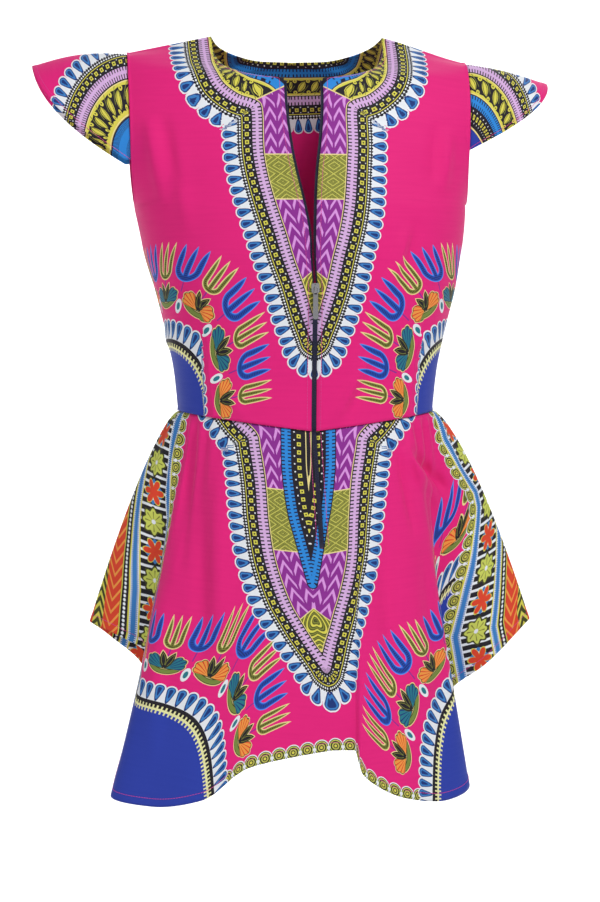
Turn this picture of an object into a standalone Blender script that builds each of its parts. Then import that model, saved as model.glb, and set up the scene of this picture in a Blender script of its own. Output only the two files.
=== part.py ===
"""A fitted cap-sleeved top in printed cotton, with a front zip, a waist seam and a gathered peplum.

Metres, +Z up. The wearer faces -Y, so the wearer's left is +X. The origin lies on the shoulder line,
midway between the shoulders, where the garment hangs from its wearer.
"""

import math
from collections import namedtuple

import bmesh
import bpy
from mathutils import Matrix, Vector

# Cloth and seams
WALL = 0.0016
SEAM_GAP = 0.0003
SAME_POINT = 1e-6
CREASE_DEG = 50

# Body of the garment
SHOULDER_X = 0.184
NECK_X = 0.093
NECK_Z = 0.019
ARMHOLE_HEIGHT = 0.165
ARMHOLE_DEPTH = 0.050
UNDERARM_IN = 0.004
SHOULDER_TURN = 52
WAIST_X = 0.139
WAIST_FRONT_Y = -0.100
WAIST_BACK_Y = 0.090
WAIST_SIDE_Z = -0.385
WAIST_FRONT_Z = -0.403
WAIST_BACK_Z = -0.393
SQUARENESS = 2.3
ZIP_HALF_GAP = 0.0026
PANEL_COLUMNS = 12

# Zip
SLIT_END = 0.37
TAPE_GAP = 0.0003
TAPE_THICK = 0.0008
TAPE_SHOWS = 0.0026
TAPE_HIDDEN = 0.008
TAPE_HALF_GAP = 0.0012
TAPE_TOP_DROP = 0.1
CHAIN_HALF = 0.0022
CHAIN_SET_IN = 0.0003
CHAIN_THICK = 0.0011
SLIDER_PLACE = 3.0
SLIDER_SPAN = 0.2
CHAIN_TOP_BELOW_SLIDER = 0.0032
CHAIN_END_CLEAR = 0.0005

# Slider and pull tab, in the slider's own frame: X across, Y into the garment, Z up the zip
PLATE = Vector((0.0084, 0.0011, 0.0105))
BACK_PLATE = Vector((0.0074, 0.0009, 0.0090))
PLATE_CLEAR = 0.0004
BACK_PLATE_CLEAR = 0.0006
BRIDGE = Vector((0.0016, 0.0, 0.0026))
BRIDGE_UP = 0.0002
CROWN_WIDE = 0.0016
CROWN_TALL = 0.0077
CROWN_BAR = 0.0012
CROWN_ROOM = 0.0026
PIECES_SUNK = 0.0003
PLATE_ROUND = 0.0018
BACK_PLATE_ROUND = 0.0014
ROUND_STEPS = 3
TAB_LONG = 0.033
TAB_WIDE = 0.0060
TAB_NECK = 0.0048
TAB_THICK = 0.0012
TAB_BAR = 0.0013
TAB_WINDOW = Vector((0.0028, 0.0, 0.0058))
TAB_ROUND = 0.0022

# Cap sleeves
SLEEVE_COLUMNS = 16
SLEEVE_ROWS = 5
SLEEVE_END_REACH = 0.004
SLEEVE_FLARE = 0.016
SLEEVE_CREST_POWER = 1.3
SLEEVE_REACH_POWER = 2.2

# Peplum
GATHER_PITCH_DEG = 9
GATHER_DEPTH = 0.0022
GATHER_START = 0.05
GATHER_FADE = 0.22
HEM_STOPS = (0, 0.025, 0.06, 0.11, 0.17, 0.23, 0.30, 0.37, 0.48, 0.60, 0.72, 0.84, 0.93, 1)

# The whole garment leans a little to the wearer's left below the chest, as it is worn
Lean = namedtuple("Lean", "z shift")
LEAN = (
    Lean(-0.90, 0.010),
    Lean(-0.26, 0.010),
    Lean(-0.21, 0.007),
    Lean(-0.11, 0.001),
    Lean(0.10, 0.0),
)
LEFT_SHOULDER_DROP = 0.008
DROP_FROM_X = 0.09
DROP_ENDS_Z = -0.14
DROP_FULL_Z = -0.02

# Each row of a bodice panel runs from its inner edge (zip, V or neckline) to its side seam or armhole
Below = namedtuple("Below", "inner_x inner_y inner_z side_x side_z")
Beside = namedtuple("Beside", "inner_x inner_y inner_z arm_deg turn_deg")
FRONT_BELOW_ARM = (
    Below(ZIP_HALF_GAP, WAIST_FRONT_Y, WAIST_FRONT_Z, WAIST_X, WAIST_SIDE_Z),
    Below(ZIP_HALF_GAP, -0.104, -0.355, 0.1435, -0.342),
    Below(ZIP_HALF_GAP, -0.111, -0.303, 0.1530, -0.296),
    Below(ZIP_HALF_GAP, -0.118, -0.252, 0.1640, -0.252),
    Below(0.0032, -0.1225, -0.206, 0.1735, -0.210),
)
FRONT_BESIDE_ARM = (
    Beside(0.0068, -0.1195, -0.165, 180, 90),
    Beside(0.0108, -0.1140, -0.137, 158, 82),
    Beside(0.0152, -0.1065, -0.109, 136, 72),
    Beside(0.0192, -0.0960, -0.076, 112, 64),
    Beside(0.0207, -0.0860, -0.050, 91, 58),
    Beside(0.0207, -0.0780, -0.031, 74, 55),
    Beside(0.0440, -0.0730, -0.028, 58, SHOULDER_TURN),
    Beside(0.0650, -0.0610, -0.023, 42, SHOULDER_TURN),
    Beside(0.0830, -0.0420, -0.014, 28, SHOULDER_TURN),
    Beside(0.0915, -0.0200, 0.002, 14, SHOULDER_TURN),
    Beside(NECK_X, 0.0, NECK_Z, 0, SHOULDER_TURN),
)
BACK_BELOW_ARM = (
    Below(0, WAIST_BACK_Y, WAIST_BACK_Z, WAIST_X, WAIST_SIDE_Z),
    Below(0, 0.089, -0.348, 0.1435, -0.342),
    Below(0, 0.093, -0.300, 0.1530, -0.296),
    Below(0, 0.099, -0.253, 0.1640, -0.252),
    Below(0, 0.105, -0.208, 0.1735, -0.210),
)
BACK_BESIDE_ARM = (
    Beside(0, 0.108, -0.165, 180, 90),
    Beside(0, 0.108, -0.128, 154, 82),
    Beside(0, 0.104, -0.091, 128, 72),
    Beside(0, 0.096, -0.056, 104, 64),
    Beside(0, 0.083, -0.026, 82, 58),
    Beside(0, 0.066, -0.002, 62, 55),
    Beside(0.0350, 0.061, -0.001, 46, SHOULDER_TURN),
    Beside(0.0640, 0.047, 0.004, 30, SHOULDER_TURN),
    Beside(0.0850, 0.024, 0.012, 15, SHOULDER_TURN),
    Beside(NECK_X, 0.0, NECK_Z, 0, SHOULDER_TURN),
)

Cap = namedtuple("Cap", "name side reach tip_z end_deg swell")
CAPS = (
    Cap("left", 1, 0.0930, -0.029, 104, 0.003),
    Cap("right", -1, 0.1040, -0.014, 114, 0.006),
)

# Each row is one line of the peplum from waist to hem. steps are the columns up to the next row.
Fall = namedtuple("Fall", "line waist_deg hem_x hem_y hem_z puff gather steps")
FRONT_FALLS = (
    Fall("right side seam", -90, -0.228, 0.010, -0.618, 0.72, 0.6, 4),
    Fall("right border lobe", -81, -0.196, -0.022, -0.630, 0.75, 1, 4),
    Fall("right recess", -72, -0.166, -0.030, -0.655, 0.90, 1, 5),
    Fall("right corner fold", -60, -0.206, -0.098, -0.790, 1.18, 1, 4),
    Fall("right corner", -47, -0.163, -0.132, -0.795, 1.15, 0.5, 4),
    Fall("right corner end", -34, -0.112, -0.152, -0.785, 1.10, 0, 3),
    Fall("right hem rise", -20, -0.062, -0.158, -0.750, 1.05, 0, 4),
    Fall("slit right edge", 0, 0.0277 - ZIP_HALF_GAP, -0.160, -0.733, 1.0, 0, 1),
    Fall("slit left edge", 0, 0.0277 + ZIP_HALF_GAP, -0.160, -0.733, 1.0, 0, 3),
    Fall("step in hem", 13, 0.047, -0.161, -0.733, 1.0, 0, 2),
    Fall("step out hem", 18, 0.054, -0.171, -0.755, 1.0, 0, 4),
    Fall("left corner start", 27, 0.098, -0.160, -0.784, 1.05, 0, 4),
    Fall("left corner", 35, 0.148, -0.132, -0.794, 1.0, 0.5, 4),
    Fall("left corner fold", 43, 0.179, -0.092, -0.785, 0.92, 1, 6),
    Fall("left recess", 58, 0.162, -0.034, -0.705, 0.85, 1, 8),
    Fall("left border lobe", 76, 0.206, -0.036, -0.664, 0.72, 1, 6),
    Fall("left side seam", 90, 0.262, 0.004, -0.620, 0.68, 0.6, 0),
)
BACK_FALLS = (
    Fall("left side seam", 90, 0.262, 0.004, -0.620, 0.68, 0.6, 4),
    Fall("left back lobe", 101, 0.226, 0.046, -0.648, 0.75, 1, 4),
    Fall("left back recess", 112, 0.170, 0.058, -0.700, 0.95, 1, 5),
    Fall("left back corner fold", 124, 0.182, 0.118, -0.790, 1.15, 1, 4),
    Fall("left back corner", 137, 0.140, 0.150, -0.796, 1.12, 0.5, 4),
    Fall("left back hem rise", 152, 0.082, 0.160, -0.768, 1.05, 0, 4),
    Fall("left back fold", 168, 0.032, 0.150, -0.748, 1.0, 0, 3),
    Fall("centre back", 180, 0.012, 0.158, -0.742, 1.0, 0, 3),
    Fall("right back fold", 193, -0.028, 0.152, -0.746, 1.0, 0, 4),
    Fall("right back hem rise", 208, -0.076, 0.162, -0.766, 1.05, 0, 4),
    Fall("right back corner", 223, -0.146, 0.152, -0.798, 1.12, 0.5, 4),
    Fall("right back corner fold", 236, -0.188, 0.114, -0.788, 1.15, 1, 5),
    Fall("right back recess", 248, -0.164, 0.060, -0.690, 0.95, 1, 4),
    Fall("right back lobe", 259, -0.204, 0.040, -0.640, 0.75, 1, 4),
    Fall("right side seam", 270, -0.228, 0.010, -0.618, 0.72, 0.6, 0),
)


def along_rows(rows, place):
    """The values at a fractional row number, on a cubic that never overshoots the rows."""
    low = min(int(place), len(rows) - 2)
    part = place - low

    def step(number, column):
        if 0 <= number < len(rows) - 1:
            return rows[number + 1][column] - rows[number][column]
        return None

    def slope(number, column):
        before, after = step(number - 1, column), step(number, column)
        if before is None or after is None:
            return after if before is None else before
        if before * after <= 0:
            return 0.0
        return 2 * before * after / (before + after)

    values = []
    for column, start in enumerate(rows[low]):
        end = rows[low + 1][column]
        leave, arrive = slope(low, column), slope(low + 1, column)
        square, cube = part**2, part**3
        value = start * (2 * cube - 3 * square + 1) + end * (3 * square - 2 * cube)
        values.append(value + leave * (cube - 2 * square + part) + arrive * (cube - square))
    return values


def smooth(value, low, high):
    """0 below low, 1 above high, and a soft step between."""
    part = min(max((value - low) / (high - low), 0), 1)
    return part * part * (3 - 2 * part)


def posed(x, y, z):
    """A point of the symmetric garment moved to where the worn garment has it."""
    for lower, upper in zip(LEAN, LEAN[1:]):
        if z <= upper.z:
            break
    lean = lower.shift + (upper.shift - lower.shift) * smooth(z, lower.z, upper.z)
    outer, upper = smooth(x, DROP_FROM_X, SHOULDER_X), smooth(z, DROP_ENDS_Z, DROP_FULL_Z)
    drop = LEFT_SHOULDER_DROP * outer * upper
    return Vector((x + lean, y, z - drop))


def armhole(degrees):
    """How deep, and how far below the shoulder, the armhole's edge is: 0 at the shoulder, 180 underarm."""
    angle = math.radians(degrees)
    fall = (1 - math.cos(angle)) / 2
    return SHOULDER_X - UNDERARM_IN * fall, ARMHOLE_DEPTH * math.sin(angle), -ARMHOLE_HEIGHT * fall


def quarter(part, turn, squareness=SQUARENESS):
    """How far across and how far round a section has gone: a quarter superellipse that stops at turn."""
    angle, power = part * turn, 2 / squareness
    across = (math.sin(angle) / math.sin(turn)) ** power
    round_ = (1 - math.cos(angle) ** power) / (1 - math.cos(turn) ** power)
    return across, round_


def panel_rows(below, beside, facing):
    """The rows of a half bodice: inner x, y, z, outer x, y, z, and the turn of the section."""
    gap = facing * SEAM_GAP / 2
    rows = [(r.inner_x, r.inner_y, r.inner_z, r.side_x, gap, r.side_z, 90) for r in below]
    for r in beside:
        x, depth, z = armhole(r.arm_deg)
        inner_y = r.inner_y if r.inner_y else gap
        rows.append((r.inner_x, inner_y, r.inner_z, x, gap + facing * depth, z, r.turn_deg))
    return rows


FRONT_ROWS = panel_rows(FRONT_BELOW_ARM, FRONT_BESIDE_ARM, -1)
BACK_ROWS = panel_rows(BACK_BELOW_ARM, BACK_BESIDE_ARM, 1)


def panel_point(rows, side, place, part):
    """A point of a half bodice at a fractional row and a part of the way from inner to outer edge."""
    inner_x, inner_y, inner_z, outer_x, outer_y, outer_z, turn = along_rows(rows, place)
    across, round_ = quarter(part, math.radians(turn))
    x = inner_x + (outer_x - inner_x) * across
    y = inner_y + (outer_y - inner_y) * round_
    z = inner_z + (outer_z - inner_z) * across
    return posed(side * x, y, z)


def panel_stops(below, beside):
    """Fractional rows for a panel's mesh: two to a row below the arm, one beside it."""
    halves = [number / 2 for number in range(2 * len(below))]
    return halves + [len(below) + number for number in range(len(beside))]


def waist_point(degrees, side):
    """The waist seam, by angle from centre front. side tells the slit's two edges apart."""
    behind = abs(degrees) > 90
    part = (180 - abs(degrees)) / 90 if behind else abs(degrees) / 90
    inner_x = 0 if behind else ZIP_HALF_GAP
    inner_y = WAIST_BACK_Y if behind else WAIST_FRONT_Y
    inner_z = WAIST_BACK_Z if behind else WAIST_FRONT_Z
    across, round_ = quarter(part, math.pi / 2)
    x = inner_x + (WAIST_X - inner_x) * across
    z = inner_z + (WAIST_SIDE_Z - inner_z) * across
    return posed(side * x, inner_y * (1 - round_), z - SEAM_GAP)


def fall_point(falls, place, down):
    """A point of the peplum at a fractional line, from 0 at the waist to 1 at the hem."""
    numbers = [fall[1:-1] for fall in falls]
    degrees, hem_x, hem_y, hem_z, puff, gather = along_rows(numbers, place)
    middle = next((n for n, fall in enumerate(falls) if fall.waist_deg in (0, 180)), 0)
    on_left = place > middle + 0.5 if falls is FRONT_FALLS else place <= middle
    turn = degrees if degrees <= 180 else degrees - 360
    top = waist_point(turn, 1 if on_left else -1)
    out = down**puff
    wave = math.cos(2 * math.pi * degrees / GATHER_PITCH_DEG) * GATHER_DEPTH * gather
    wave *= smooth(down, 0, GATHER_START) * math.exp(-down / GATHER_FADE)
    outward = Vector((math.sin(math.radians(turn)), -math.cos(math.radians(turn)), 0))
    point = top + Vector(((hem_x - top.x) * out, (hem_y - top.y) * out, (hem_z - top.z) * down))
    return point + outward * wave


def material(name, colour, roughness, metallic=0.0):
    made = bpy.data.materials.new(name)
    made.use_nodes = True
    shader = made.node_tree.nodes["Principled BSDF"]
    shader.inputs["Base Color"].default_value = (*colour, 1)
    shader.inputs["Roughness"].default_value = roughness
    shader.inputs["Metallic"].default_value = metallic
    return made


def add_object(name, mesh, finish, location=(0, 0, 0)):
    mesh.materials.append(finish)
    made = bpy.data.objects.new(name, mesh)
    made.location = location
    bpy.context.scene.collection.objects.link(made)
    return made


def inner_point(points, row, column, facing, thick, square):
    """The point behind a sheet's point, one wall in. The wall's edge is cut square to the axes in square."""
    across = points[row][min(column + 1, len(points[0]) - 1)] - points[row][max(column - 1, 0)]
    up = points[min(row + 1, len(points) - 1)][column] - points[max(row - 1, 0)][column]
    outward = across.cross(up) * facing
    for axis in square:
        outward[axis] = 0
    return points[row][column] - outward.normalized() * thick


def add_sheet(cloth, points, facing, thick, square=lambda row, column: ()):
    """Adds a grid of faces through rows of points, and notes where the wall's inner side goes."""
    inner = cloth.verts.layers.float_vector.get("inner") or cloth.verts.layers.float_vector.new("inner")
    columns, rows = len(points[0]) - 1, len(points) - 1
    made = bmesh.ops.create_grid(cloth, x_segments=columns, y_segments=rows, size=0.5)["verts"]
    for vert in made:
        column, row = round((vert.co.x + 0.5) * columns), round((vert.co.y + 0.5) * rows)
        vert.co = points[row][column]
        vert[inner] = inner_point(points, row, column, facing, thick, square(row, column))


def cloth_object(name, cloth, finish):
    """Extrudes a cloth sheet to its inner side, which makes it a closed wall."""
    inner = cloth.verts.layers.float_vector["inner"]
    bmesh.ops.remove_doubles(cloth, verts=cloth.verts, dist=SAME_POINT)
    made = bmesh.ops.extrude_face_region(cloth, geom=cloth.faces[:], use_keep_orig=True)["geom"]
    for vert in [item for item in made if isinstance(item, bmesh.types.BMVert)]:
        vert.co = vert[inner]
    bmesh.ops.recalc_face_normals(cloth, faces=cloth.faces)
    mesh = bpy.data.meshes.new(name)
    cloth.to_mesh(mesh)
    cloth.free()
    mesh.shade_smooth()
    mesh.set_sharp_from_angle(angle=math.radians(CREASE_DEG))
    return add_object(name, mesh, finish)


def half_bodice(cloth, rows, stops, side, facing):
    """Adds a half bodice, cut square at its waist, side, shoulder and centre back."""
    columns = range(PANEL_COLUMNS + 1)
    points = [[panel_point(rows, side, stop, column / PANEL_COLUMNS) for column in columns] for stop in stops]
    underarm = next(row for row, stop in enumerate(stops) if along_rows(rows, stop)[6] < 90) - 1

    def square(row, column):
        axes = [2] if row == 0 else []
        at_side = column == PANEL_COLUMNS and row <= underarm
        if at_side or row == len(stops) - 1:
            axes.append(1)
        if column == 0 and along_rows(rows, stops[row])[0] < SAME_POINT:
            axes.append(0)
        return axes

    add_sheet(cloth, points, side * facing, WALL, square)


def make_bodice_front(side, finish):
    cloth = bmesh.new()
    stops = panel_stops(FRONT_BELOW_ARM, FRONT_BESIDE_ARM)
    half_bodice(cloth, FRONT_ROWS, stops, side, 1)
    cloth_object("bodice_front_left" if side > 0 else "bodice_front_right", cloth, finish)


def make_bodice_back(finish):
    """Both halves share the centre back up to the neckline, where they part."""
    cloth = bmesh.new()
    stops = panel_stops(BACK_BELOW_ARM, BACK_BESIDE_ARM)
    for side in (1, -1):
        half_bodice(cloth, BACK_ROWS, stops, side, -1)
    cloth_object("bodice_back", cloth, finish)


def sleeve_point(cap, turn, out):
    """A point of a cap sleeve: turn goes from -1 in front over the shoulder to 1 behind, out from 0 to 1."""
    x, depth, z = armhole(abs(turn) * cap.end_deg)
    facing = math.copysign(1, turn) if turn else 0
    seam = posed(cap.side * (x + SEAM_GAP), facing * depth, z)
    end_x, end_depth, end_z = armhole(cap.end_deg)
    fall = abs(turn)
    hem_z = cap.tip_z + (end_z - cap.tip_z) * fall**SLEEVE_CREST_POWER
    reach = SLEEVE_END_REACH + (cap.reach - SLEEVE_END_REACH) * (1 - fall**SLEEVE_REACH_POWER)
    hem_y = end_depth * math.sin(fall * math.pi / 2) + SLEEVE_FLARE * math.sin(fall * math.pi)
    hem = Vector((cap.side * (end_x + SEAM_GAP + reach), facing * hem_y, hem_z))
    swell = cap.swell * math.sin(out * math.pi) * (1 - fall**2)
    return seam.lerp(hem, out) + Vector((0, 0, swell))


def make_cap_sleeve(cap, finish):
    turns = [2 * column / SLEEVE_COLUMNS - 1 for column in range(SLEEVE_COLUMNS + 1)]
    outs = [row / SLEEVE_ROWS for row in range(SLEEVE_ROWS + 1)]
    cloth = bmesh.new()
    points = [[sleeve_point(cap, turn, out) for turn in turns] for out in outs]
    add_sheet(cloth, points, -cap.side, WALL, lambda row, column: [0] if row == 0 else [])
    cloth_object("cap_sleeve_" + cap.name, cloth, finish)


def fall_stops(falls):
    """Fractional lines for the peplum's columns."""
    stops = [n + step / fall.steps for n, fall in enumerate(falls[:-1]) for step in range(fall.steps)]
    return stops + [len(falls) - 1]


def make_peplum(name, falls, facing, finish):
    stops = fall_stops(falls)
    last = len(stops) - 1
    points = [[fall_point(falls, place, down) for place in stops] for down in HEM_STOPS]
    for row in points:
        for column in (0, last):
            row[column] = row[column] + Vector((0, facing * SEAM_GAP / 2, 0))

    def square(row, column):
        return ([2] if row == 0 else []) + ([1] if column in (0, last) else [])

    cloth = bmesh.new()
    add_sheet(cloth, points, -1, WALL, square)
    if falls is FRONT_FALLS:
        cut_slit(cloth, points, stops)
    cloth_object(name, cloth, finish)


def cut_slit(cloth, points, stops):
    """Opens the peplum at centre front, where the zip runs on below the waist."""
    column = next(n for n, stop in enumerate(stops) if FRONT_FALLS[int(stop)].line == "slit right edge")
    rows = [[row[column], row[column + 1]] for row in points[: HEM_STOPS.index(SLIT_END) + 1]]
    for upper, lower in zip(rows, rows[1:]):
        middle = sum(upper + lower, Vector()) / 4
        nearest = min(cloth.faces, key=lambda face: (face.calc_center_median() - middle).length)
        cloth.faces.remove(nearest)


def zip_line(side, part=0.0):
    """A line down the cloth from the neckline to the slit's end, at its edge or on its next column."""
    corner = len(FRONT_BELOW_ARM) + 5
    stops = [stop for stop in panel_stops(FRONT_BELOW_ARM, FRONT_BESIDE_ARM) if stop <= corner]
    line = [panel_point(FRONT_ROWS, side, stop, part) for stop in reversed(stops)]
    edge = next(n for n, fall in enumerate(FRONT_FALLS) if fall.line.startswith("slit")) + (side > 0)
    if part:
        edge += side / FRONT_FALLS[edge if side > 0 else edge - 1].steps
    return line + [fall_point(FRONT_FALLS, edge, down) for down in HEM_STOPS[1:] if down <= SLIT_END]


def inward(line, number, across=Vector((1, 0, 0))):
    """Into the garment, square to the line at a point of it and to the cloth beside it."""
    before, after = line[max(number - 1, 0)], line[min(number + 1, len(line) - 1)]
    return across.cross(after - before).normalized()


def make_zip_tape(side, finish):
    """A flat tape behind the cloth's edge, which shows a little in the opening."""
    line, beside = zip_line(side), zip_line(side, 1 / PANEL_COLUMNS)
    middle = [(left + right) / 2 for left, right in zip(zip_line(1), zip_line(-1))]
    points = []
    for number, (edge, next_to, centre) in enumerate(zip(line, beside, middle)):
        across = (next_to - edge).normalized()
        behind = inward(line, number, across * side) * (WALL + TAPE_GAP)
        shows = min(TAPE_SHOWS, abs(edge.x - centre.x) - TAPE_HALF_GAP)
        points.append([edge - across * shows + behind, edge + across * TAPE_HIDDEN + behind])
    points[0] = [point.lerp(below, TAPE_TOP_DROP) for point, below in zip(points[0], points[1])]
    cloth = bmesh.new()
    add_sheet(cloth, points, -side, TAPE_THICK)
    cloth_object("zip_tape_left" if side > 0 else "zip_tape_right", cloth, finish)


def slider_frame():
    """The slider's place on the cloth's outer side, with Z up the zip."""
    edges = [panel_point(FRONT_ROWS, side, SLIDER_PLACE, 0) for side in (1, -1)]
    above = [panel_point(FRONT_ROWS, side, SLIDER_PLACE + SLIDER_SPAN, 0) for side in (1, -1)]
    up = (sum(above, Vector()) - sum(edges, Vector())).normalized()
    into = up.cross(Vector((1, 0, 0))).normalized()
    turned = Matrix((Vector((1, 0, 0)), into, up)).transposed().to_4x4()
    return Matrix.Translation(sum(edges, Vector()) / 2) @ turned


def make_zip_chain(finish):
    left, right = zip_line(1), zip_line(-1)
    start = slider_frame() @ Vector((0, 0, -CHAIN_TOP_BELOW_SLIDER))
    line = [start] + [(a + b) / 2 for a, b in zip(left, right) if (a + b).z / 2 < start.z - 0.004]
    line[-1] += (line[-2] - line[-1]).normalized() * CHAIN_END_CLEAR
    middle = [at + inward(line, number) * CHAIN_SET_IN for number, at in enumerate(line)]
    half = Vector((CHAIN_HALF, 0, 0))
    cloth = bmesh.new()
    add_sheet(cloth, [[at - half, at + half] for at in middle], -1, CHAIN_THICK)
    cloth_object("zip_chain", cloth, finish)


def block(name, low, high, bevel=0.0):
    """A box between two corners, with its edges along its depth rounded."""
    low, high = Vector(low), Vector(high)
    box = bmesh.new()
    bmesh.ops.create_cube(box, size=1)
    size = high - low
    bmesh.ops.scale(box, vec=size, verts=box.verts)
    bmesh.ops.translate(box, vec=(low + high) / 2, verts=box.verts)
    if bevel:
        upright = [e for e in box.edges if abs(e.verts[0].co.y - e.verts[1].co.y) > size.y / 2]
        bmesh.ops.bevel(
            box, geom=upright, offset=bevel, segments=ROUND_STEPS, profile=0.5, affect="EDGES", material=-1
        )
    mesh = bpy.data.meshes.new(name)
    box.to_mesh(mesh)
    box.free()
    return mesh


def helper(name, mesh, parent):
    made = bpy.data.objects.new(name, mesh)
    bpy.context.scene.collection.objects.link(made)
    made.parent = parent
    made.hide_render = True
    made.display_type = "WIRE"
    return made


def combine(target, other, operation):
    cut = target.modifiers.new(other.name, "BOOLEAN")
    cut.operation = operation
    cut.object = other


def make_slider(finish):
    """A front and a back plate joined by a bridge between the tapes, and a crown for the pull tab."""
    front = -PLATE_CLEAR
    back = WALL + TAPE_GAP + TAPE_THICK + BACK_PLATE_CLEAR
    outer = front - PLATE.y
    half, tall = PLATE.x / 2, PLATE.z / 2
    mesh = block("zip_slider", (-half, outer, -tall), (half, front, tall), PLATE_ROUND)
    made = add_object("zip_slider", mesh, finish)
    made.matrix_world = slider_frame()
    wide, crown, end = BRIDGE.x / 2, CROWN_WIDE / 2, CROWN_TALL / 2
    low, high = BRIDGE_UP, BRIDGE_UP + BRIDGE.z
    half, tall = BACK_PLATE.x / 2, BACK_PLATE.z / 2
    roof = outer - CROWN_ROOM
    pieces = {
        "bridge": ((-wide, front - PIECES_SUNK, low), (wide, back + PIECES_SUNK, high), 0),
        "back_plate": ((-half, back, -tall), (half, back + BACK_PLATE.y, tall), BACK_PLATE_ROUND),
        "crown_roof": ((-crown, roof - CROWN_BAR, -end), (crown, roof, end), 0),
        "crown_top": ((-crown, roof - PIECES_SUNK, end - CROWN_BAR), (crown, outer + PIECES_SUNK, end), 0),
        "crown_foot": ((-crown, roof - PIECES_SUNK, -end), (crown, outer + PIECES_SUNK, CROWN_BAR - end), 0),
    }
    for name, (low_corner, high_corner, bevel) in pieces.items():
        mesh = block(name, low_corner, high_corner, bevel)
        combine(made, helper("slider_" + name, mesh, made), "UNION")


def make_pull_tab(finish):
    """A flat tab that hangs by its top bar from the slider's crown. Its origin is on the bar's axis."""
    axis = slider_frame() @ Vector((0, -PLATE_CLEAR - PLATE.y - CROWN_ROOM / 2, 0))
    top, thick = TAB_BAR / 2, TAB_THICK / 2
    mesh = block(
        "pull_tab", (-TAB_WIDE / 2, -thick, top - TAB_LONG), (TAB_WIDE / 2, thick, top), bevel=TAB_ROUND
    )
    for vert in mesh.vertices:
        if vert.co.z > -TAB_LONG / 2:
            vert.co.x *= TAB_NECK / TAB_WIDE
    made = add_object("pull_tab", mesh, finish, axis)
    half = TAB_WINDOW.x / 2
    window = block("tab_window", (-half, -2 * thick, -top - TAB_WINDOW.z), (half, 2 * thick, -top))
    combine(made, helper("tab_window_cutter", window, made), "DIFFERENCE")


def main():
    for old in list(bpy.data.objects):
        bpy.data.objects.remove(old)
    print_pink = material("printed cotton", (0.80, 0.02, 0.17), 0.75)
    zip_navy = material("navy zip tape", (0.02, 0.02, 0.06), 0.7)
    silver = material("silver metal", (0.72, 0.72, 0.74), 0.3, 1.0)
    for side in (1, -1):
        make_bodice_front(side, print_pink)
        make_zip_tape(side, zip_navy)
    make_bodice_back(print_pink)
    for cap in CAPS:
        make_cap_sleeve(cap, print_pink)
    make_peplum("peplum_front", FRONT_FALLS, -1, print_pink)
    make_peplum("peplum_back", BACK_FALLS, 1, print_pink)
    make_zip_chain(zip_navy)
    make_slider(silver)
    make_pull_tab(silver)


main()
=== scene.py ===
# %% [markdown]
# # A peplum top sewn from dashiki-print cotton
#
# The real top is waxed cotton, cut in seven pieces and sewn round the body: two front bodices with a
# zip between them, a back, two cap sleeves, and a front and a back peplum with a handkerchief hem. The
# model of its construction is loaded first as a fixed frame. Every piece of cloth is then made again as
# a thin, finely meshed shell in the same place, with its creases, darts and seams, and the printed
# cotton, the threads and the zip's teeth are added.

# %% Load the frame
import math
from collections import namedtuple

import bmesh
import bpy
import numpy as np
from mathutils import Matrix, Vector


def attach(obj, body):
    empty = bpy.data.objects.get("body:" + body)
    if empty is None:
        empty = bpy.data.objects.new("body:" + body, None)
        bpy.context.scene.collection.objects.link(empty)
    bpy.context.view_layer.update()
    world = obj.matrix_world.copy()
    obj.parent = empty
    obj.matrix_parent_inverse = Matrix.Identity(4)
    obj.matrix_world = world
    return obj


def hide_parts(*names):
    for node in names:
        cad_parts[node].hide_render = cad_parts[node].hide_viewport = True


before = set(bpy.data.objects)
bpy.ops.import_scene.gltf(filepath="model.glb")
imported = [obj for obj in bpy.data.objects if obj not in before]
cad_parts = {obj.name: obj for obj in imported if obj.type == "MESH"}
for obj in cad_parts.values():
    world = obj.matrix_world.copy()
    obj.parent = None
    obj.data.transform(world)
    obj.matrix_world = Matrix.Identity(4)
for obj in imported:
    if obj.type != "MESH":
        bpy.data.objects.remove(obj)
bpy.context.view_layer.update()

# %% [markdown]
# ## The camera, the light and the room
#
# The picture was taken from chest height, a few degrees to one side, with a long lens. The camera comes
# first, because every later step is judged through it. The room is a pale floor that curves up into a
# wall that has its own light. A key light stands high on the side of the wearer's left, a larger and
# weaker one fills from the other side, and one from behind lights the edges.

# %% Camera
PICTURE_HIGH = 902
FOCAL_PX = 2364
CAMERA_AWAY = 2.6
CAMERA_AIM = Vector((0.004, 0, -0.431))
CAMERA_TURN = math.radians(-5)
CAMERA_RISE = math.radians(4)
SENSOR = 24

camera = bpy.data.cameras.new("camera")
camera.sensor_fit = "VERTICAL"
camera.sensor_height = SENSOR
camera.lens = SENSOR * FOCAL_PX / PICTURE_HIGH
viewer = bpy.data.objects.new("camera", camera)
back = Vector((
    math.sin(CAMERA_TURN) * math.cos(CAMERA_RISE),
    -math.cos(CAMERA_TURN) * math.cos(CAMERA_RISE),
    math.sin(CAMERA_RISE),
))
viewer.location = CAMERA_AIM + back * CAMERA_AWAY
viewer.rotation_euler = (-back).to_track_quat("-Z", "Y").to_euler()
bpy.context.scene.collection.objects.link(viewer)
bpy.context.scene.camera = viewer
bpy.context.scene.view_settings.view_transform = "Standard"
print("camera at", [round(value, 3) for value in viewer.location])

# %% Small helpers for objects
def made_of(shape, name, finish):
    """A new object at the origin, whose mesh is a finished bmesh."""
    mesh = bpy.data.meshes.new(name)
    shape.to_mesh(mesh)
    shape.free()
    mesh.materials.append(finish)
    made = bpy.data.objects.new(name, mesh)
    bpy.context.scene.collection.objects.link(made)
    return made


def new_finish(name):
    """A new material, its node tree and its shader."""
    made = bpy.data.materials.new(name)
    made.use_nodes = True
    return made, made.node_tree, made.node_tree.nodes["Principled BSDF"]


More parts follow.
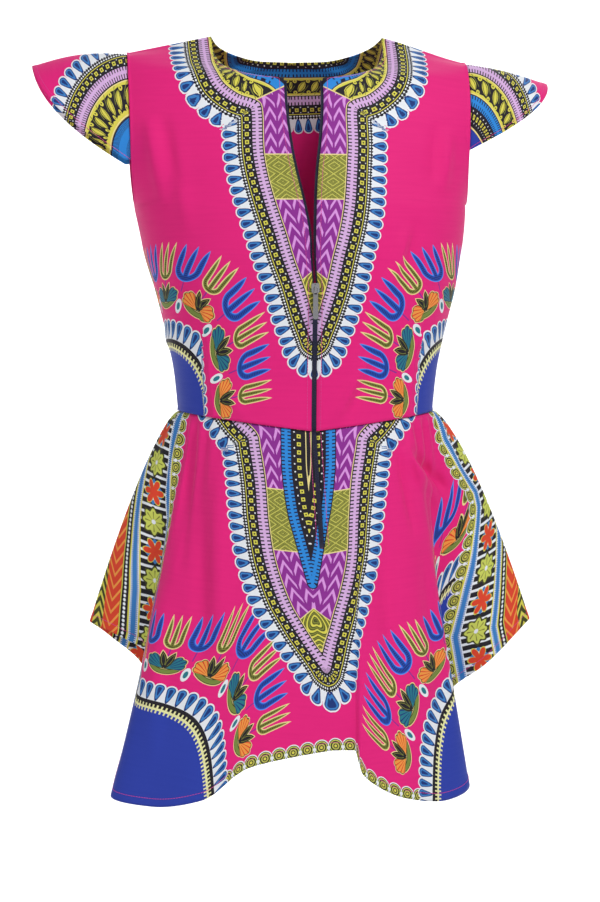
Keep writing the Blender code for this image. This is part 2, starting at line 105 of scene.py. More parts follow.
def srgb(red, green, blue):
    """A colour read on a screen, from 0 to 255, as the linear colour that a shader takes."""
    values = [channel / 255 for channel in (red, green, blue)]
    linear = [v / 12.92 if v <= 0.04045 else ((v + 0.055) / 1.055) ** 2.4 for v in values]
    return (*linear, 1)


# %% Floor and lights
FLOOR_Z = -1.5
FLOOR_WIDE = 12
WALL_Y = 4
WALL_ROUND = 1.2
WALL_HIGH = 6
FLOOR_FORWARD = 8


def pull_out(shape, edges, way):
    """A new strip from some edges."""
    pulled = bmesh.ops.extrude_edge_only(shape, edges=edges)["geom"]
    bmesh.ops.translate(shape, vec=way, verts=[v for v in pulled if isinstance(v, bmesh.types.BMVert)])


def make_room():
    """A floor strip whose far edge is turned up into a wall."""
    room = bmesh.new()
    edge = [room.verts.new((x, WALL_Y - WALL_ROUND, FLOOR_Z)) for x in (-FLOOR_WIDE / 2, FLOOR_WIDE / 2)]
    near = room.edges.new(edge)
    turned = bmesh.ops.spin(
        room, geom=[near], angle=-math.pi / 2, steps=12, axis=(-1, 0, 0), use_duplicate=False,
        cent=(0, WALL_Y - WALL_ROUND, FLOOR_Z + WALL_ROUND),
    )["geom_last"]
    rising = [item for item in turned if isinstance(item, bmesh.types.BMEdge)]
    pull_out(room, rising, (0, 0, WALL_HIGH))
    first = min((e for e in room.edges if e.is_boundary), key=lambda e: sum(v.co.z + v.co.y for v in e.verts))
    pull_out(room, [first], (0, -FLOOR_FORWARD, 0))
    bmesh.ops.recalc_face_normals(room, faces=room.faces)
    pale, _, shader = new_finish("pale floor")
    shader.inputs["Base Color"].default_value = srgb(246, 246, 246)
    shader.inputs["Roughness"].default_value = 0.9
    shader.inputs["Specular IOR Level"].default_value = 0.1
    made = made_of(room, "studio_floor", pale)
    made.data.shade_smooth()
    return made


Light = namedtuple("Light", "name place aim size power")
LIGHTS = (
    Light("wall light", (0, 1.2, 0.4), (0, WALL_Y, -0.4), 3.0, 110),
    Light("key light", (1.5, -2.1, 1.7), (0, 0, -0.4), 0.8, 52),
    Light("fill light", (-2.0, -2.4, 0.2), (0, 0, -0.5), 2.0, 22),
    Light("back light", (0.6, 2.0, 1.4), (0, 0, -0.3), 1.4, 16),
)
make_room()
for row in LIGHTS:
    light = bpy.data.lights.new(row.name, "AREA")
    light.shape = "SQUARE"
    light.size = row.size
    light.energy = row.power
    lamp = bpy.data.objects.new(row.name, light)
    lamp.location = row.place
    lamp.rotation_euler = (Vector(row.aim) - Vector(row.place)).to_track_quat("-Z", "Y").to_euler()
    bpy.context.scene.collection.objects.link(lamp)
world = bpy.data.worlds.new("studio")
world.use_nodes = True
world.node_tree.nodes["Background"].inputs["Color"].default_value = (1, 1, 1, 1)
world.node_tree.nodes["Background"].inputs["Strength"].default_value = 0.34
bpy.context.scene.world = world

# %% [markdown]
# ## The cut of the garment
#
# A pattern cutter works from a few lines: the zip edge, the neckline, the armhole, the side seams, the
# waist seam and the hem. The same lines and sections as the construction's are written here as short
# tables, so that the fine cloth lies exactly on the rigid walls. Working from the lines, rather than
# from the rigid mesh, also tells for each point where it lies in the flat cloth, which the print needs.

# %% Sizes of the cut
SHOULDER_X = 0.184
NECK_X = 0.093
NECK_Z = 0.019
ARMHOLE_HEIGHT = 0.165
ARMHOLE_DEPTH = 0.050
UNDERARM_IN = 0.004
SHOULDER_TURN = 52
WAIST_X = 0.139
WAIST_FRONT_Y, WAIST_BACK_Y = -0.100, 0.090
WAIST_SIDE_Z, WAIST_FRONT_Z, WAIST_BACK_Z = -0.385, -0.403, -0.393
SQUARENESS = 2.3
ZIP_HALF_GAP = 0.0026
SEAM_GAP = 0.0003
SLIT_END = 0.37
SLEEVE_END_REACH = 0.004
SLEEVE_FLARE = 0.016
SLEEVE_CREST_POWER = 1.3
SLEEVE_REACH_POWER = 2.2
GATHER_PITCH_DEG = 9
GATHER_DEPTH = 0.0022
GATHER_START = 0.05
GATHER_FADE = 0.22
WAIST_LEAN = 0.010
SHOULDER_DROP = 0.008
DROP_FROM_X, DROP_LOW_Z, DROP_HIGH_Z = 0.09, -0.14, -0.02

Lean = namedtuple("Lean", "low_z high_z less")
LEANS = (Lean(-0.26, -0.21, 0.003), Lean(-0.21, -0.11, 0.006), Lean(-0.11, 0.10, 0.001))
Below = namedtuple("Below", "inner_x inner_y inner_z side_x side_z")
Beside = namedtuple("Beside", "inner_x inner_y inner_z arm_deg turn_deg")
FRONT_BELOW_ARM = (
    Below(ZIP_HALF_GAP, WAIST_FRONT_Y, WAIST_FRONT_Z, WAIST_X, WAIST_SIDE_Z),
    Below(ZIP_HALF_GAP, -0.104, -0.355, 0.1435, -0.342),
    Below(ZIP_HALF_GAP, -0.111, -0.303, 0.1530, -0.296),
    Below(ZIP_HALF_GAP, -0.118, -0.252, 0.1640, -0.252),
    Below(0.0032, -0.1225, -0.206, 0.1735, -0.210),
)
FRONT_BESIDE_ARM = (
    Beside(0.0068, -0.1195, -0.165, 180, 90),
    Beside(0.0108, -0.1140, -0.137, 158, 82),
    Beside(0.0152, -0.1065, -0.109, 136, 72),
    Beside(0.0192, -0.0960, -0.076, 112, 64),
    Beside(0.0207, -0.0860, -0.050, 91, 58),
    Beside(0.0207, -0.0780, -0.031, 74, 55),
    Beside(0.0440, -0.0730, -0.028, 58, SHOULDER_TURN),
    Beside(0.0650, -0.0610, -0.023, 42, SHOULDER_TURN),
    Beside(0.0830, -0.0420, -0.014, 28, SHOULDER_TURN),
    Beside(0.0915, -0.0200, 0.002, 14, SHOULDER_TURN),
    Beside(NECK_X, 0.0, NECK_Z, 0, SHOULDER_TURN),
)
BACK_BELOW_ARM = (
    Below(0, WAIST_BACK_Y, WAIST_BACK_Z, WAIST_X, WAIST_SIDE_Z),
    Below(0, 0.089, -0.348, 0.1435, -0.342),
    Below(0, 0.093, -0.300, 0.1530, -0.296),
    Below(0, 0.099, -0.253, 0.1640, -0.252),
    Below(0, 0.105, -0.208, 0.1735, -0.210),
)
BACK_BESIDE_ARM = (
    Beside(0, 0.108, -0.165, 180, 90),
    Beside(0, 0.108, -0.128, 154, 82),
    Beside(0, 0.104, -0.091, 128, 72),
    Beside(0, 0.096, -0.056, 104, 64),
    Beside(0, 0.083, -0.026, 82, 58),
    Beside(0, 0.066, -0.002, 62, 55),
    Beside(0.0350, 0.061, -0.001, 46, SHOULDER_TURN),
    Beside(0.0640, 0.047, 0.004, 30, SHOULDER_TURN),
    Beside(0.0850, 0.024, 0.012, 15, SHOULDER_TURN),
    Beside(NECK_X, 0.0, NECK_Z, 0, SHOULDER_TURN),
)
Cap = namedtuple("Cap", "name side reach tip_z end_deg swell")
CAPS = (
    Cap("left", 1, 0.0930, -0.029, 104, 0.003),
    Cap("right", -1, 0.1040, -0.014, 114, 0.006),
)
Fall = namedtuple("Fall", "line waist_deg hem_x hem_y hem_z puff gather")
FRONT_FALLS = (
    Fall("right side seam", -90, -0.228, 0.010, -0.618, 0.72, 0.6),
    Fall("right border lobe", -81, -0.196, -0.022, -0.630, 0.75, 1),
    Fall("right recess", -72, -0.166, -0.030, -0.655, 0.90, 1),
    Fall("right corner fold", -60, -0.206, -0.098, -0.790, 1.18, 1),
    Fall("right corner", -47, -0.163, -0.132, -0.795, 1.15, 0.5),
    Fall("right corner end", -34, -0.112, -0.152, -0.785, 1.10, 0),
    Fall("right hem rise", -20, -0.062, -0.158, -0.750, 1.05, 0),
    Fall("slit right edge", 0, 0.0277 - ZIP_HALF_GAP, -0.160, -0.733, 1.0, 0),
    Fall("slit left edge", 0, 0.0277 + ZIP_HALF_GAP, -0.160, -0.733, 1.0, 0),
    Fall("step in hem", 13, 0.047, -0.161, -0.733, 1.0, 0),
    Fall("step out hem", 18, 0.054, -0.171, -0.755, 1.0, 0),
    Fall("left corner start", 27, 0.098, -0.160, -0.784, 1.05, 0),
    Fall("left corner", 35, 0.148, -0.132, -0.794, 1.0, 0.5),
    Fall("left corner fold", 43, 0.179, -0.092, -0.785, 0.92, 1),
    Fall("left recess", 58, 0.162, -0.034, -0.705, 0.85, 1),
    Fall("left border lobe", 76, 0.206, -0.036, -0.664, 0.72, 1),
    Fall("left side seam", 90, 0.262, 0.004, -0.620, 0.68, 0.6),
)
BACK_FALLS = (
    Fall("left side seam", 90, 0.262, 0.004, -0.620, 0.68, 0.6),
    Fall("left back lobe", 101, 0.226, 0.046, -0.648, 0.75, 1),
    Fall("left back recess", 112, 0.170, 0.058, -0.700, 0.95, 1),
    Fall("left back corner fold", 124, 0.182, 0.118, -0.790, 1.15, 1),
    Fall("left back corner", 137, 0.140, 0.150, -0.796, 1.12, 0.5),
    Fall("left back hem rise", 152, 0.082, 0.160, -0.768, 1.05, 0),
    Fall("left back fold", 168, 0.032, 0.150, -0.748, 1.0, 0),
    Fall("centre back", 180, 0.012, 0.158, -0.742, 1.0, 0),
    Fall("right back fold", 193, -0.028, 0.152, -0.746, 1.0, 0),
    Fall("right back hem rise", 208, -0.076, 0.162, -0.766, 1.05, 0),
    Fall("right back corner", 223, -0.146, 0.152, -0.798, 1.12, 0.5),
    Fall("right back corner fold", 236, -0.188, 0.114, -0.788, 1.15, 1),
    Fall("right back recess", 248, -0.164, 0.060, -0.690, 0.95, 1),
    Fall("right back lobe", 259, -0.204, 0.040, -0.640, 0.75, 1),
    Fall("right side seam", 270, -0.228, 0.010, -0.618, 0.72, 0.6),
)
print("lines of the cut:", len(FRONT_BESIDE_ARM), "beside the arm,", len(FRONT_FALLS), "falls in front")

# %% [markdown]
# Between the rows of a table the cloth runs on a smooth curve that never overshoots them, and across the
# body each row is a quarter of a rounded square. NumPy works out a whole row of points at a time.

# %% Sections
def along_rows(rows, place):
    """The values at a fractional row number, on a cubic that never overshoots the rows."""
    low = min(int(place), len(rows) - 2)
    part = place - low

    def step(number, column):
        if 0 <= number < len(rows) - 1:
            return rows[number + 1][column] - rows[number][column]
        return None

    def slope(number, column):
        before, after = step(number - 1, column), step(number, column)
        if before is None or after is None:
            return after if before is None else before
        if before * after <= 0:
            return 0.0
        return 2 * before * after / (before + after)

    values = []
    for column, start in enumerate(rows[low]):
        end = rows[low + 1][column]
        leave, arrive = slope(low, column), slope(low + 1, column)
        square, cube = part**2, part**3
        value = start * (2 * cube - 3 * square + 1) + end * (3 * square - 2 * cube)
        values.append(value + leave * (cube - 2 * square + part) + arrive * (cube - square))
    return values


def smooth(value, low, high):
    """0 below low, 1 above high, and a soft step between."""
    part = np.clip((value - low) / (high - low), 0, 1)
    return part * part * (3 - 2 * part)


def posed(points):
    """Points of the symmetric garment moved to where the worn garment has them."""
    x, z = points[..., 0], points[..., 2]
    lean = WAIST_LEAN - sum(row.less * smooth(z, row.low_z, row.high_z) for row in LEANS)
    drop = SHOULDER_DROP * smooth(x, DROP_FROM_X, SHOULDER_X) * smooth(z, DROP_LOW_Z, DROP_HIGH_Z)
    return points + np.stack([lean, 0 * lean, -drop], axis=-1)


def armhole(degrees):
    """How far out, how deep and how high the armhole's edge is: 0 at the shoulder, 180 underarm."""
    angle = np.radians(degrees)
    fall = (1 - np.cos(angle)) / 2
    return SHOULDER_X - UNDERARM_IN * fall, ARMHOLE_DEPTH * np.sin(angle), -ARMHOLE_HEIGHT * fall


def quarter(part, turn):
    """How far across and how far round a section has gone: a quarter superellipse that stops at turn."""
    angle, power = part * turn, 2 / SQUARENESS
    across = (np.sin(angle) / math.sin(turn)) ** power
    round_ = (1 - np.clip(np.cos(angle), 0, 1) ** power) / (1 - max(math.cos(turn), 0) ** power)
    return across, round_


def panel_rows(below, beside, facing):
    """The rows of a half bodice: inner x, y, z, outer x, y, z, and the turn of the section."""
    gap = facing * SEAM_GAP / 2
    rows = [(r.inner_x, r.inner_y, r.inner_z, r.side_x, gap, r.side_z, 90) for r in below]
    for r in beside:
        x, depth, z = (float(value) for value in armhole(r.arm_deg))
        inner_y = r.inner_y if r.inner_y else gap
        rows.append((r.inner_x, inner_y, r.inner_z, x, gap + facing * depth, z, r.turn_deg))
    return rows


FRONT_ROWS = panel_rows(FRONT_BELOW_ARM, FRONT_BESIDE_ARM, -1)
BACK_ROWS = panel_rows(BACK_BELOW_ARM, BACK_BESIDE_ARM, 1)


def panel_points(rows, side, places, parts):
    """A grid of points on a half bodice, before the garment is posed."""
    grid = []
    for place in places:
        inner_x, inner_y, inner_z, outer_x, outer_y, outer_z, turn = along_rows(rows, place)
        across, round_ = quarter(parts, math.radians(turn))
        x = inner_x + (outer_x - inner_x) * across
        y = inner_y + (outer_y - inner_y) * round_
        z = inner_z + (outer_z - inner_z) * across
        grid.append(np.stack([side * x, y, z], axis=-1))
    return np.array(grid)


def waist_point(degrees, side):
    """The waist seam, by angle from centre front. side tells the slit's two edges apart."""
    behind = abs(degrees) > 90
    part = (180 - abs(degrees)) / 90 if behind else abs(degrees) / 90
    inner_x = 0 if behind else ZIP_HALF_GAP
    inner_y = WAIST_BACK_Y if behind else WAIST_FRONT_Y
    inner_z = WAIST_BACK_Z if behind else WAIST_FRONT_Z
    across, round_ = quarter(np.array(part), math.pi / 2)
    x = inner_x + (WAIST_X - inner_x) * across
    z = inner_z + (WAIST_SIDE_Z - inner_z) * across
    return posed(np.array([side * x, inner_y * (1 - round_), z - SEAM_GAP]))


def fall_points(falls, places, downs):
    """A grid of points on the peplum: one column for each place, from the waist at 0 to the hem at 1."""
    numbers = [fall[1:] for fall in falls]
    middle = next((n for n, fall in enumerate(falls) if fall.waist_deg in (0, 180)), 0)
    columns = []
    for place in places:
        degrees, hem_x, hem_y, hem_z, puff, gather = along_rows(numbers, place)
        on_left = place > middle + 0.5 if falls is FRONT_FALLS else place <= middle
        turn = degrees if degrees <= 180 else degrees - 360
        top = waist_point(turn, 1 if on_left else -1)
        out = downs**puff
        wave = math.cos(2 * math.pi * degrees / GATHER_PITCH_DEG) * GATHER_DEPTH * gather
        wave = wave * smooth(downs, 0, GATHER_START) * np.exp(-downs / GATHER_FADE)
        outward = (math.sin(math.radians(turn)), -math.cos(math.radians(turn)))
        x = top[0] + (hem_x - top[0]) * out + outward[0] * wave
        y = top[1] + (hem_y - top[1]) * out + outward[1] * wave
        z = top[2] + (hem_z - top[2]) * downs
        columns.append(np.stack([x, y, z], axis=-1))
    return np.stack(columns, axis=1)


def sleeve_points(cap, turns, outs):
    """A grid of points on a cap sleeve: turns from -1 in front to 1 behind, outs from seam to hem."""
    rows = []
    for out in outs:
        row = []
        for turn in turns:
            x, depth, z = armhole(abs(turn) * cap.end_deg)
            facing = math.copysign(1, turn) if turn else 0
            seam = posed(np.array([cap.side * (x + SEAM_GAP), facing * depth, z]))
            end_x, end_depth, end_z = armhole(cap.end_deg)
            fall = abs(turn)
            hem_z = cap.tip_z + (end_z - cap.tip_z) * fall**SLEEVE_CREST_POWER
            reach = SLEEVE_END_REACH + (cap.reach - SLEEVE_END_REACH) * (1 - fall**SLEEVE_REACH_POWER)
            hem_y = end_depth * math.sin(fall * math.pi / 2) + SLEEVE_FLARE * math.sin(fall * math.pi)
            hem = np.array([cap.side * (end_x + SEAM_GAP + reach), facing * hem_y, hem_z])
            swell = cap.swell * math.sin(out * math.pi) * (1 - fall**2)
            row.append(seam + (hem - seam) * out + np.array([0, 0, swell]))
        rows.append(row)
    return np.array(rows)


# %% [markdown]
# ## Where the print lies
#
# A dashiki print is laid out for the garment: bands follow the neck and end in a point on the chest, a
# second point hangs from the waist, and each corner of the skirt has a medallion. Each band is painted by
# how far a point is along the band's middle line and how far it is from that line. Those two numbers are
# measured here for every vertex and kept as attributes, so that the bands follow the cloth in its folds.

# %% Lines of the print
YOKE_FRONT = (
    (0.102, 0.016), (0.1015, 0.0), (0.099, -0.017), (0.090, -0.038), (0.072, -0.053), (0.0545, -0.0595),
    (0.0505, -0.068), (0.050, -0.110), (0.043, -0.159), (0.0305, -0.208), (0.0115, -0.272), (0.0, -0.303),
)
YOKE_BACK = ((0.102, 0.016), (0.101, -0.004), (0.094, -0.022), (0.078, -0.034), (0.05, -0.040), (0.0, -0.042))
YOKE_SKIRT = (
    (0.098, -0.022), (0.076, 0.0), (0.0605, 0.0125), (0.0575, 0.024), (0.0515, 0.060), (0.0485, 0.098),
    (0.0455, 0.130), (0.0410, 0.153), (0.0325, 0.180), (0.0220, 0.204), (0.0118, 0.225), (0.0, 0.249),
)
LADDER_SKIRT = (
    (0.0240, -0.010), (0.0236, 0.019), (0.0228, 0.045), (0.0183, 0.082), (0.0115, 0.112), (0.0, 0.162),
)
Drift = namedtuple("Drift", "below_waist sideways")
PRINT_DRIFT = (
    Drift(0, -0.006), Drift(0.05, -0.009), Drift(0.1, -0.012), Drift(0.19, -0.013),
    Drift(0.225, -0.0095), Drift(0.25, -0.0047), Drift(0.3, 0),
)
LINE_STEPS = 8
FAR = 1.0


def rounded(corners):
    """Points on a soft line through the corners."""
    corners = np.array(corners, float)
    ends = np.vstack([2 * corners[0] - corners[1], corners, 2 * corners[-1] - corners[-2]])
    line = []
    for before, start, end, after in zip(ends, ends[1:], ends[2:], ends[3:]):
        for step in range(LINE_STEPS):
            t = step / LINE_STEPS
            line.append(0.5 * (
                2 * start + (end - before) * t + (2 * before - 5 * start + 4 * end - after) * t**2
                + (3 * start - before - 3 * end + after) * t**3
            ))
    return np.array(line + [corners[-1]])


TIP_RADIUS = 0.031
TIP_REACH = 0.24


def near_line(points, line):
    """For each point, how far along a line its nearest place is, and how far away that is."""
    along, away, travelled = np.zeros(points.shape[:-1]), np.full(points.shape[:-1], 1e9), 0.0
    for start, end in zip(line, line[1:]):
        span = end - start
        length = np.linalg.norm(span)
        part = np.clip((points - start) @ span / length**2, 0, 1)
        distance = np.linalg.norm(points - start - part[..., None] * span, axis=-1)
        nearer = distance < away
        along = np.where(nearer, travelled + part * length, along)
        away = np.where(nearer, distance, away)
        travelled += length
    return along, away


def round_tip(along, away, points, line):
    """Lets the bands fan round the line's last point, and draws them out a little to a point there."""
    last = (line[-1] - line[-2]) / np.linalg.norm(line[-1] - line[-2])
    past = points - line[-1]
    beyond = past @ last
    sideways = np.sqrt(np.maximum((past * past).sum(axis=-1) - beyond**2, 0))
    turn = np.where(beyond > 0, np.arctan2(beyond, sideways), 0)
    full = math.pi / 2 - math.atan2(abs(last[0]), abs(last[-1]))
    return along + turn * TIP_RADIUS, away / (1 + TIP_REACH * np.clip(turn / full, 0, 1))


def inside(points, line):
    """True where a point is nearer the centre than a line that runs steadily down or up."""
    order = np.argsort(line[:, 1])
    reach = np.interp(points[..., 1], line[order, 1], line[order, 0], left=-FAR, right=line[order[-1], 0])
    if line[-1, 1] > line[0, 1]:
        reach = np.interp(points[..., 1], line[:, 1], line[:, 0], left=line[0, 0], right=-FAR)
    return np.abs(points[..., 0]) < reach


def line_map(points, line, seen, seen_line, tip=True):
    """How far along a line the points are, and how far from it, negative where seen is inside it."""
    along, away = near_line(points, line)
    if tip:
        along, away = round_tip(along, away, points, line)
    return along, np.where(inside(seen, seen_line), -away, away)


def lifted(line, surface):
    """A line in x and z laid on a grid of points of the cloth."""
    flat = surface.reshape(-1, 3)
    made = []
    for x, z in line:
        away = np.hypot(flat[:, 0] - x, flat[:, 2] - z)
        nearest = np.argsort(away)[:6]
        weight = 1 / (away[nearest] + 1e-4)
        made.append((x, float((flat[nearest, 1] * weight).sum() / weight.sum()), z))
    made = np.array(made)
    made[1:-1, 1] = (made[:-2, 1] + made[1:-1, 1] + made[2:, 1]) / 3
    return made


def lengths(points, axis):
    """How far each point of a grid lies from its first row or column, along the cloth."""
    step = np.linalg.norm(np.diff(points, axis=axis), axis=2)
    start = np.zeros_like(np.take(step, [0], axis))
    return np.concatenate([start, np.cumsum(step, axis)], axis)


# %% [markdown]
# ## Creases
#
# Cotton on a body is never smooth. The largest creases of the picture are placed one by one, each as a
# soft ridge or trough between two points seen from the front, or from behind for the hidden side. Each
# has its own length, width and depth.

# %% Creases
Crease = namedtuple("Crease", "x0 z0 x1 z1 width depth")
CREASES = {
    "front bodice": (
        (0.111, -0.186, 0.086, -0.262, 0.0070, -0.0030),
        (0.122, -0.180, 0.098, -0.250, 0.0080, 0.0018),
        (0.070, -0.322, 0.028, -0.397, 0.0060, -0.0024),
        (0.082, -0.318, 0.044, -0.392, 0.0070, 0.0016),
        (-0.163, -0.070, -0.146, -0.166, 0.0080, -0.0030),
        (-0.150, -0.066, -0.130, -0.150, 0.0080, 0.0020),
        (-0.137, -0.090, -0.122, -0.196, 0.0090, -0.0018),
        (0.158, -0.082, 0.150, -0.150, 0.0080, -0.0026),
        (0.145, -0.075, 0.138, -0.142, 0.0080, 0.0016),
        (-0.110, -0.330, -0.060, -0.392, 0.0060, -0.0014),
        (-0.150, -0.300, -0.112, -0.330, 0.0060, -0.0016),
        (0.150, -0.290, 0.118, -0.318, 0.0060, -0.0016),
    ),
    "back bodice": (
        (-0.120, -0.110, -0.060, -0.170, 0.0090, -0.0030),
        (0.118, -0.120, 0.050, -0.185, 0.0090, -0.0026),
        (-0.090, -0.300, -0.020, -0.345, 0.0080, -0.0030),
        (0.085, -0.312, 0.018, -0.352, 0.0070, -0.0028),
        (-0.070, -0.345, 0.010, -0.372, 0.0070, -0.0022),
        (0.150, -0.100, 0.132, -0.190, 0.0080, -0.0024),
        (-0.152, -0.096, -0.130, -0.180, 0.0080, -0.0026),
    ),
    "front peplum": (
        (0.113, -0.425, 0.167, -0.476, 0.0060, -0.0044),
        (0.106, -0.420, 0.150, -0.486, 0.0065, 0.0034),
        (0.100, -0.410, 0.121, -0.520, 0.0060, -0.0034),
        (0.110, -0.408, 0.128, -0.470, 0.0045, 0.0026),
        (-0.118, -0.404, -0.133, -0.560, 0.0070, -0.0036),
        (-0.127, -0.404, -0.146, -0.500, 0.0055, 0.0030),
        (-0.108, -0.410, -0.112, -0.690, 0.0110, -0.0030),
        (-0.094, -0.430, -0.090, -0.640, 0.0120, 0.0022),
        (0.080, -0.470, 0.094, -0.700, 0.0120, -0.0026),
        (0.128, -0.520, 0.150, -0.730, 0.0100, -0.0028),
        (-0.150, -0.560, -0.164, -0.760, 0.0100, 0.0022),
    ),
    "back peplum": (
        (0.100, -0.405, 0.128, -0.600, 0.0090, -0.0040),
        (0.050, -0.410, 0.064, -0.660, 0.0120, -0.0030),
        (-0.036, -0.405, -0.048, -0.620, 0.0110, -0.0032),
        (-0.090, -0.405, -0.118, -0.640, 0.0100, -0.0038),
        (0.012, -0.420, 0.014, -0.560, 0.0100, 0.0024),
    ),
}
SEAM_TUCK = 0.0009
SEAM_ROLL = 0.0022
HEM_FOLD = 0.009
HEM_PROUD = 0.0005
CREASE_GAIN = 1.55
CREASE_ENDS = 0.7


def creased(points, part):
    """How far each point is pushed out by the creases of its part."""
    seen = points[..., [0, 2]]
    height = np.zeros(points.shape[:-1])
    for crease in map(Crease._make, CREASES[part]):
        start, end = np.array([crease.x0, crease.z0]), np.array([crease.x1, crease.z1])
        span = end - start
        part_way = (seen - start) @ span / (span @ span)
        bend = np.sin(np.clip(part_way, 0, 1) * math.pi)
        away = np.linalg.norm(seen - start - np.clip(part_way, 0, 1)[..., None] * span, axis=-1)
        height += CREASE_GAIN * crease.depth * np.exp(-((away / crease.width) ** 2)) * bend**CREASE_ENDS
    return height


def outward(points, facing):
    """The direction out of the garment at each point of a grid."""
    down, across = np.gradient(points, axis=0), np.gradient(points, axis=1)
    normal = np.cross(across, down) * facing
    return normal / np.maximum(np.linalg.norm(normal, axis=-1, keepdims=True), 1e-12)


# %% [markdown]
# ## A grid that becomes cloth
#
# Each piece starts as a flat grid from Blender's own operator. Its vertices are moved to the points
# worked out above, and the attributes that the print reads are stored on them. Solidify then gives the
# sheet the thickness of folded cotton, inwards, so that its outer side stays on the construction's.

# %% Cloth pieces
CLOTH_THICK = 0.0011
SAME_POINT = 1e-6
MAPS = ("yoke", "inner", "corner", "flat")
Sheet = namedtuple("Sheet", "points maps")


def add_sheet(cloth, sheet):
    """Adds one grid to a cloth mesh and stores its print maps."""
    rows, columns = sheet.points.shape[0] - 1, sheet.points.shape[1] - 1
    layers = [
        cloth.verts.layers.float_vector.get(name) or cloth.verts.layers.float_vector.new(name)
        for name in MAPS
    ]
    made = bmesh.ops.create_grid(cloth, x_segments=columns, y_segments=rows, size=0.5)["verts"]
    for vert in made:
        column, row = round((vert.co.x + 0.5) * columns), round((vert.co.y + 0.5) * rows)
        vert.co = sheet.points[row, column]
        for name, layer in zip(MAPS, layers):
            vert[layer] = sheet.maps[name][row, column]


def cloth_object(name, sheets, finish, node, slit=None):
    """One piece of cloth from one or more grids, with its thickness. slit tells which faces to open."""
    cloth = bmesh.new()
    for sheet in sheets:
        add_sheet(cloth, sheet)
    bmesh.ops.remove_doubles(cloth, verts=cloth.verts, dist=SAME_POINT)
    if slit is not None:
        opened = [face for face in cloth.faces if slit(face.calc_center_median())]
        bmesh.ops.delete(cloth, geom=opened, context="FACES")
    bmesh.ops.recalc_face_normals(cloth, faces=cloth.faces)
    made = made_of(cloth, name, finish)
    mesh = made.data
    mesh.shade_smooth()
    centre = Vector((0, 0, np.mean([sheet.points[..., 2].mean() for sheet in sheets])))
    face = max(mesh.polygons, key=lambda f: (f.center - centre).xy.length)
    if face.normal.dot(face.center - centre) < 0:
        mesh.flip_normals()
    wall = made.modifiers.new("cotton", "SOLIDIFY")
    wall.thickness = CLOTH_THICK
    wall.offset = -1
    wall.use_even_offset = False
    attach(made, "garment")
    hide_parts(node)
    return made


def maps(shape, **given):
    """The print maps of a sheet. A map that isn't given lies far from any motif."""
    made = {}
    for name in MAPS:
        parts = given.get(name, (FAR, FAR, FAR))
        made[name] = np.stack([np.broadcast_to(part, shape) for part in parts], axis=-1)
    return made


# %% [markdown]
# ## The bodice
#
# A front half has a waist dart, so the print jumps sideways across it. The medallion beside the waist was
# printed round a point beyond the side seam. The back has no opening, and its two halves are one piece.

# %% Bodice
FINE_COLUMNS = 80
FINE_STEPS, BACK_STEPS = 13, 12
DART_LOW = (0.103, -0.400)
DART_TOP = (0.117, -0.255)
DART_TOP_ALONG = 0.124
DART_TURN = 0.24
DART_DEPTH = 0.0016
DART_WIDE = 0.0016
DART_FADE = 0.05
MEDAL_AWAY = 0.250
MEDAL_Z = -0.405
MEDAL_POWER = 4


def medal_map(across, up):
    """Angle round a medallion and distance from its centre, which grows in rounded squares."""
    radius = (np.abs(across) ** MEDAL_POWER + np.abs(up) ** MEDAL_POWER) ** (1 / MEDAL_POWER)
    return np.arctan2(up, -across), radius


def undarted(along, z, beside):
    """Where the cloth of a darted front lay before the dart was sewn, turned about the dart's point."""
    x, up = along - DART_TOP_ALONG, z - DART_TOP[1]
    round_ = np.where(beside, np.mod(np.arctan2(x, -up), 2 * math.pi), math.pi)
    turn = DART_TURN * (1 - np.clip(round_ / math.pi, 0, 1))
    flat_x, flat_up = x * np.cos(turn) - up * np.sin(turn), x * np.sin(turn) + up * np.cos(turn)
    return flat_x + DART_TOP_ALONG, flat_up + DART_TOP[1]


def places_of(rows, steps):
    return np.linspace(0, len(rows) - 1, steps * (len(rows) - 1) + 1)


def tucked(points, edges):
    """How far the cloth turns in at its sewn edges. edges are distances from them."""
    return sum(-SEAM_TUCK * np.exp(-((edge / SEAM_ROLL) ** 2)) for edge in edges)


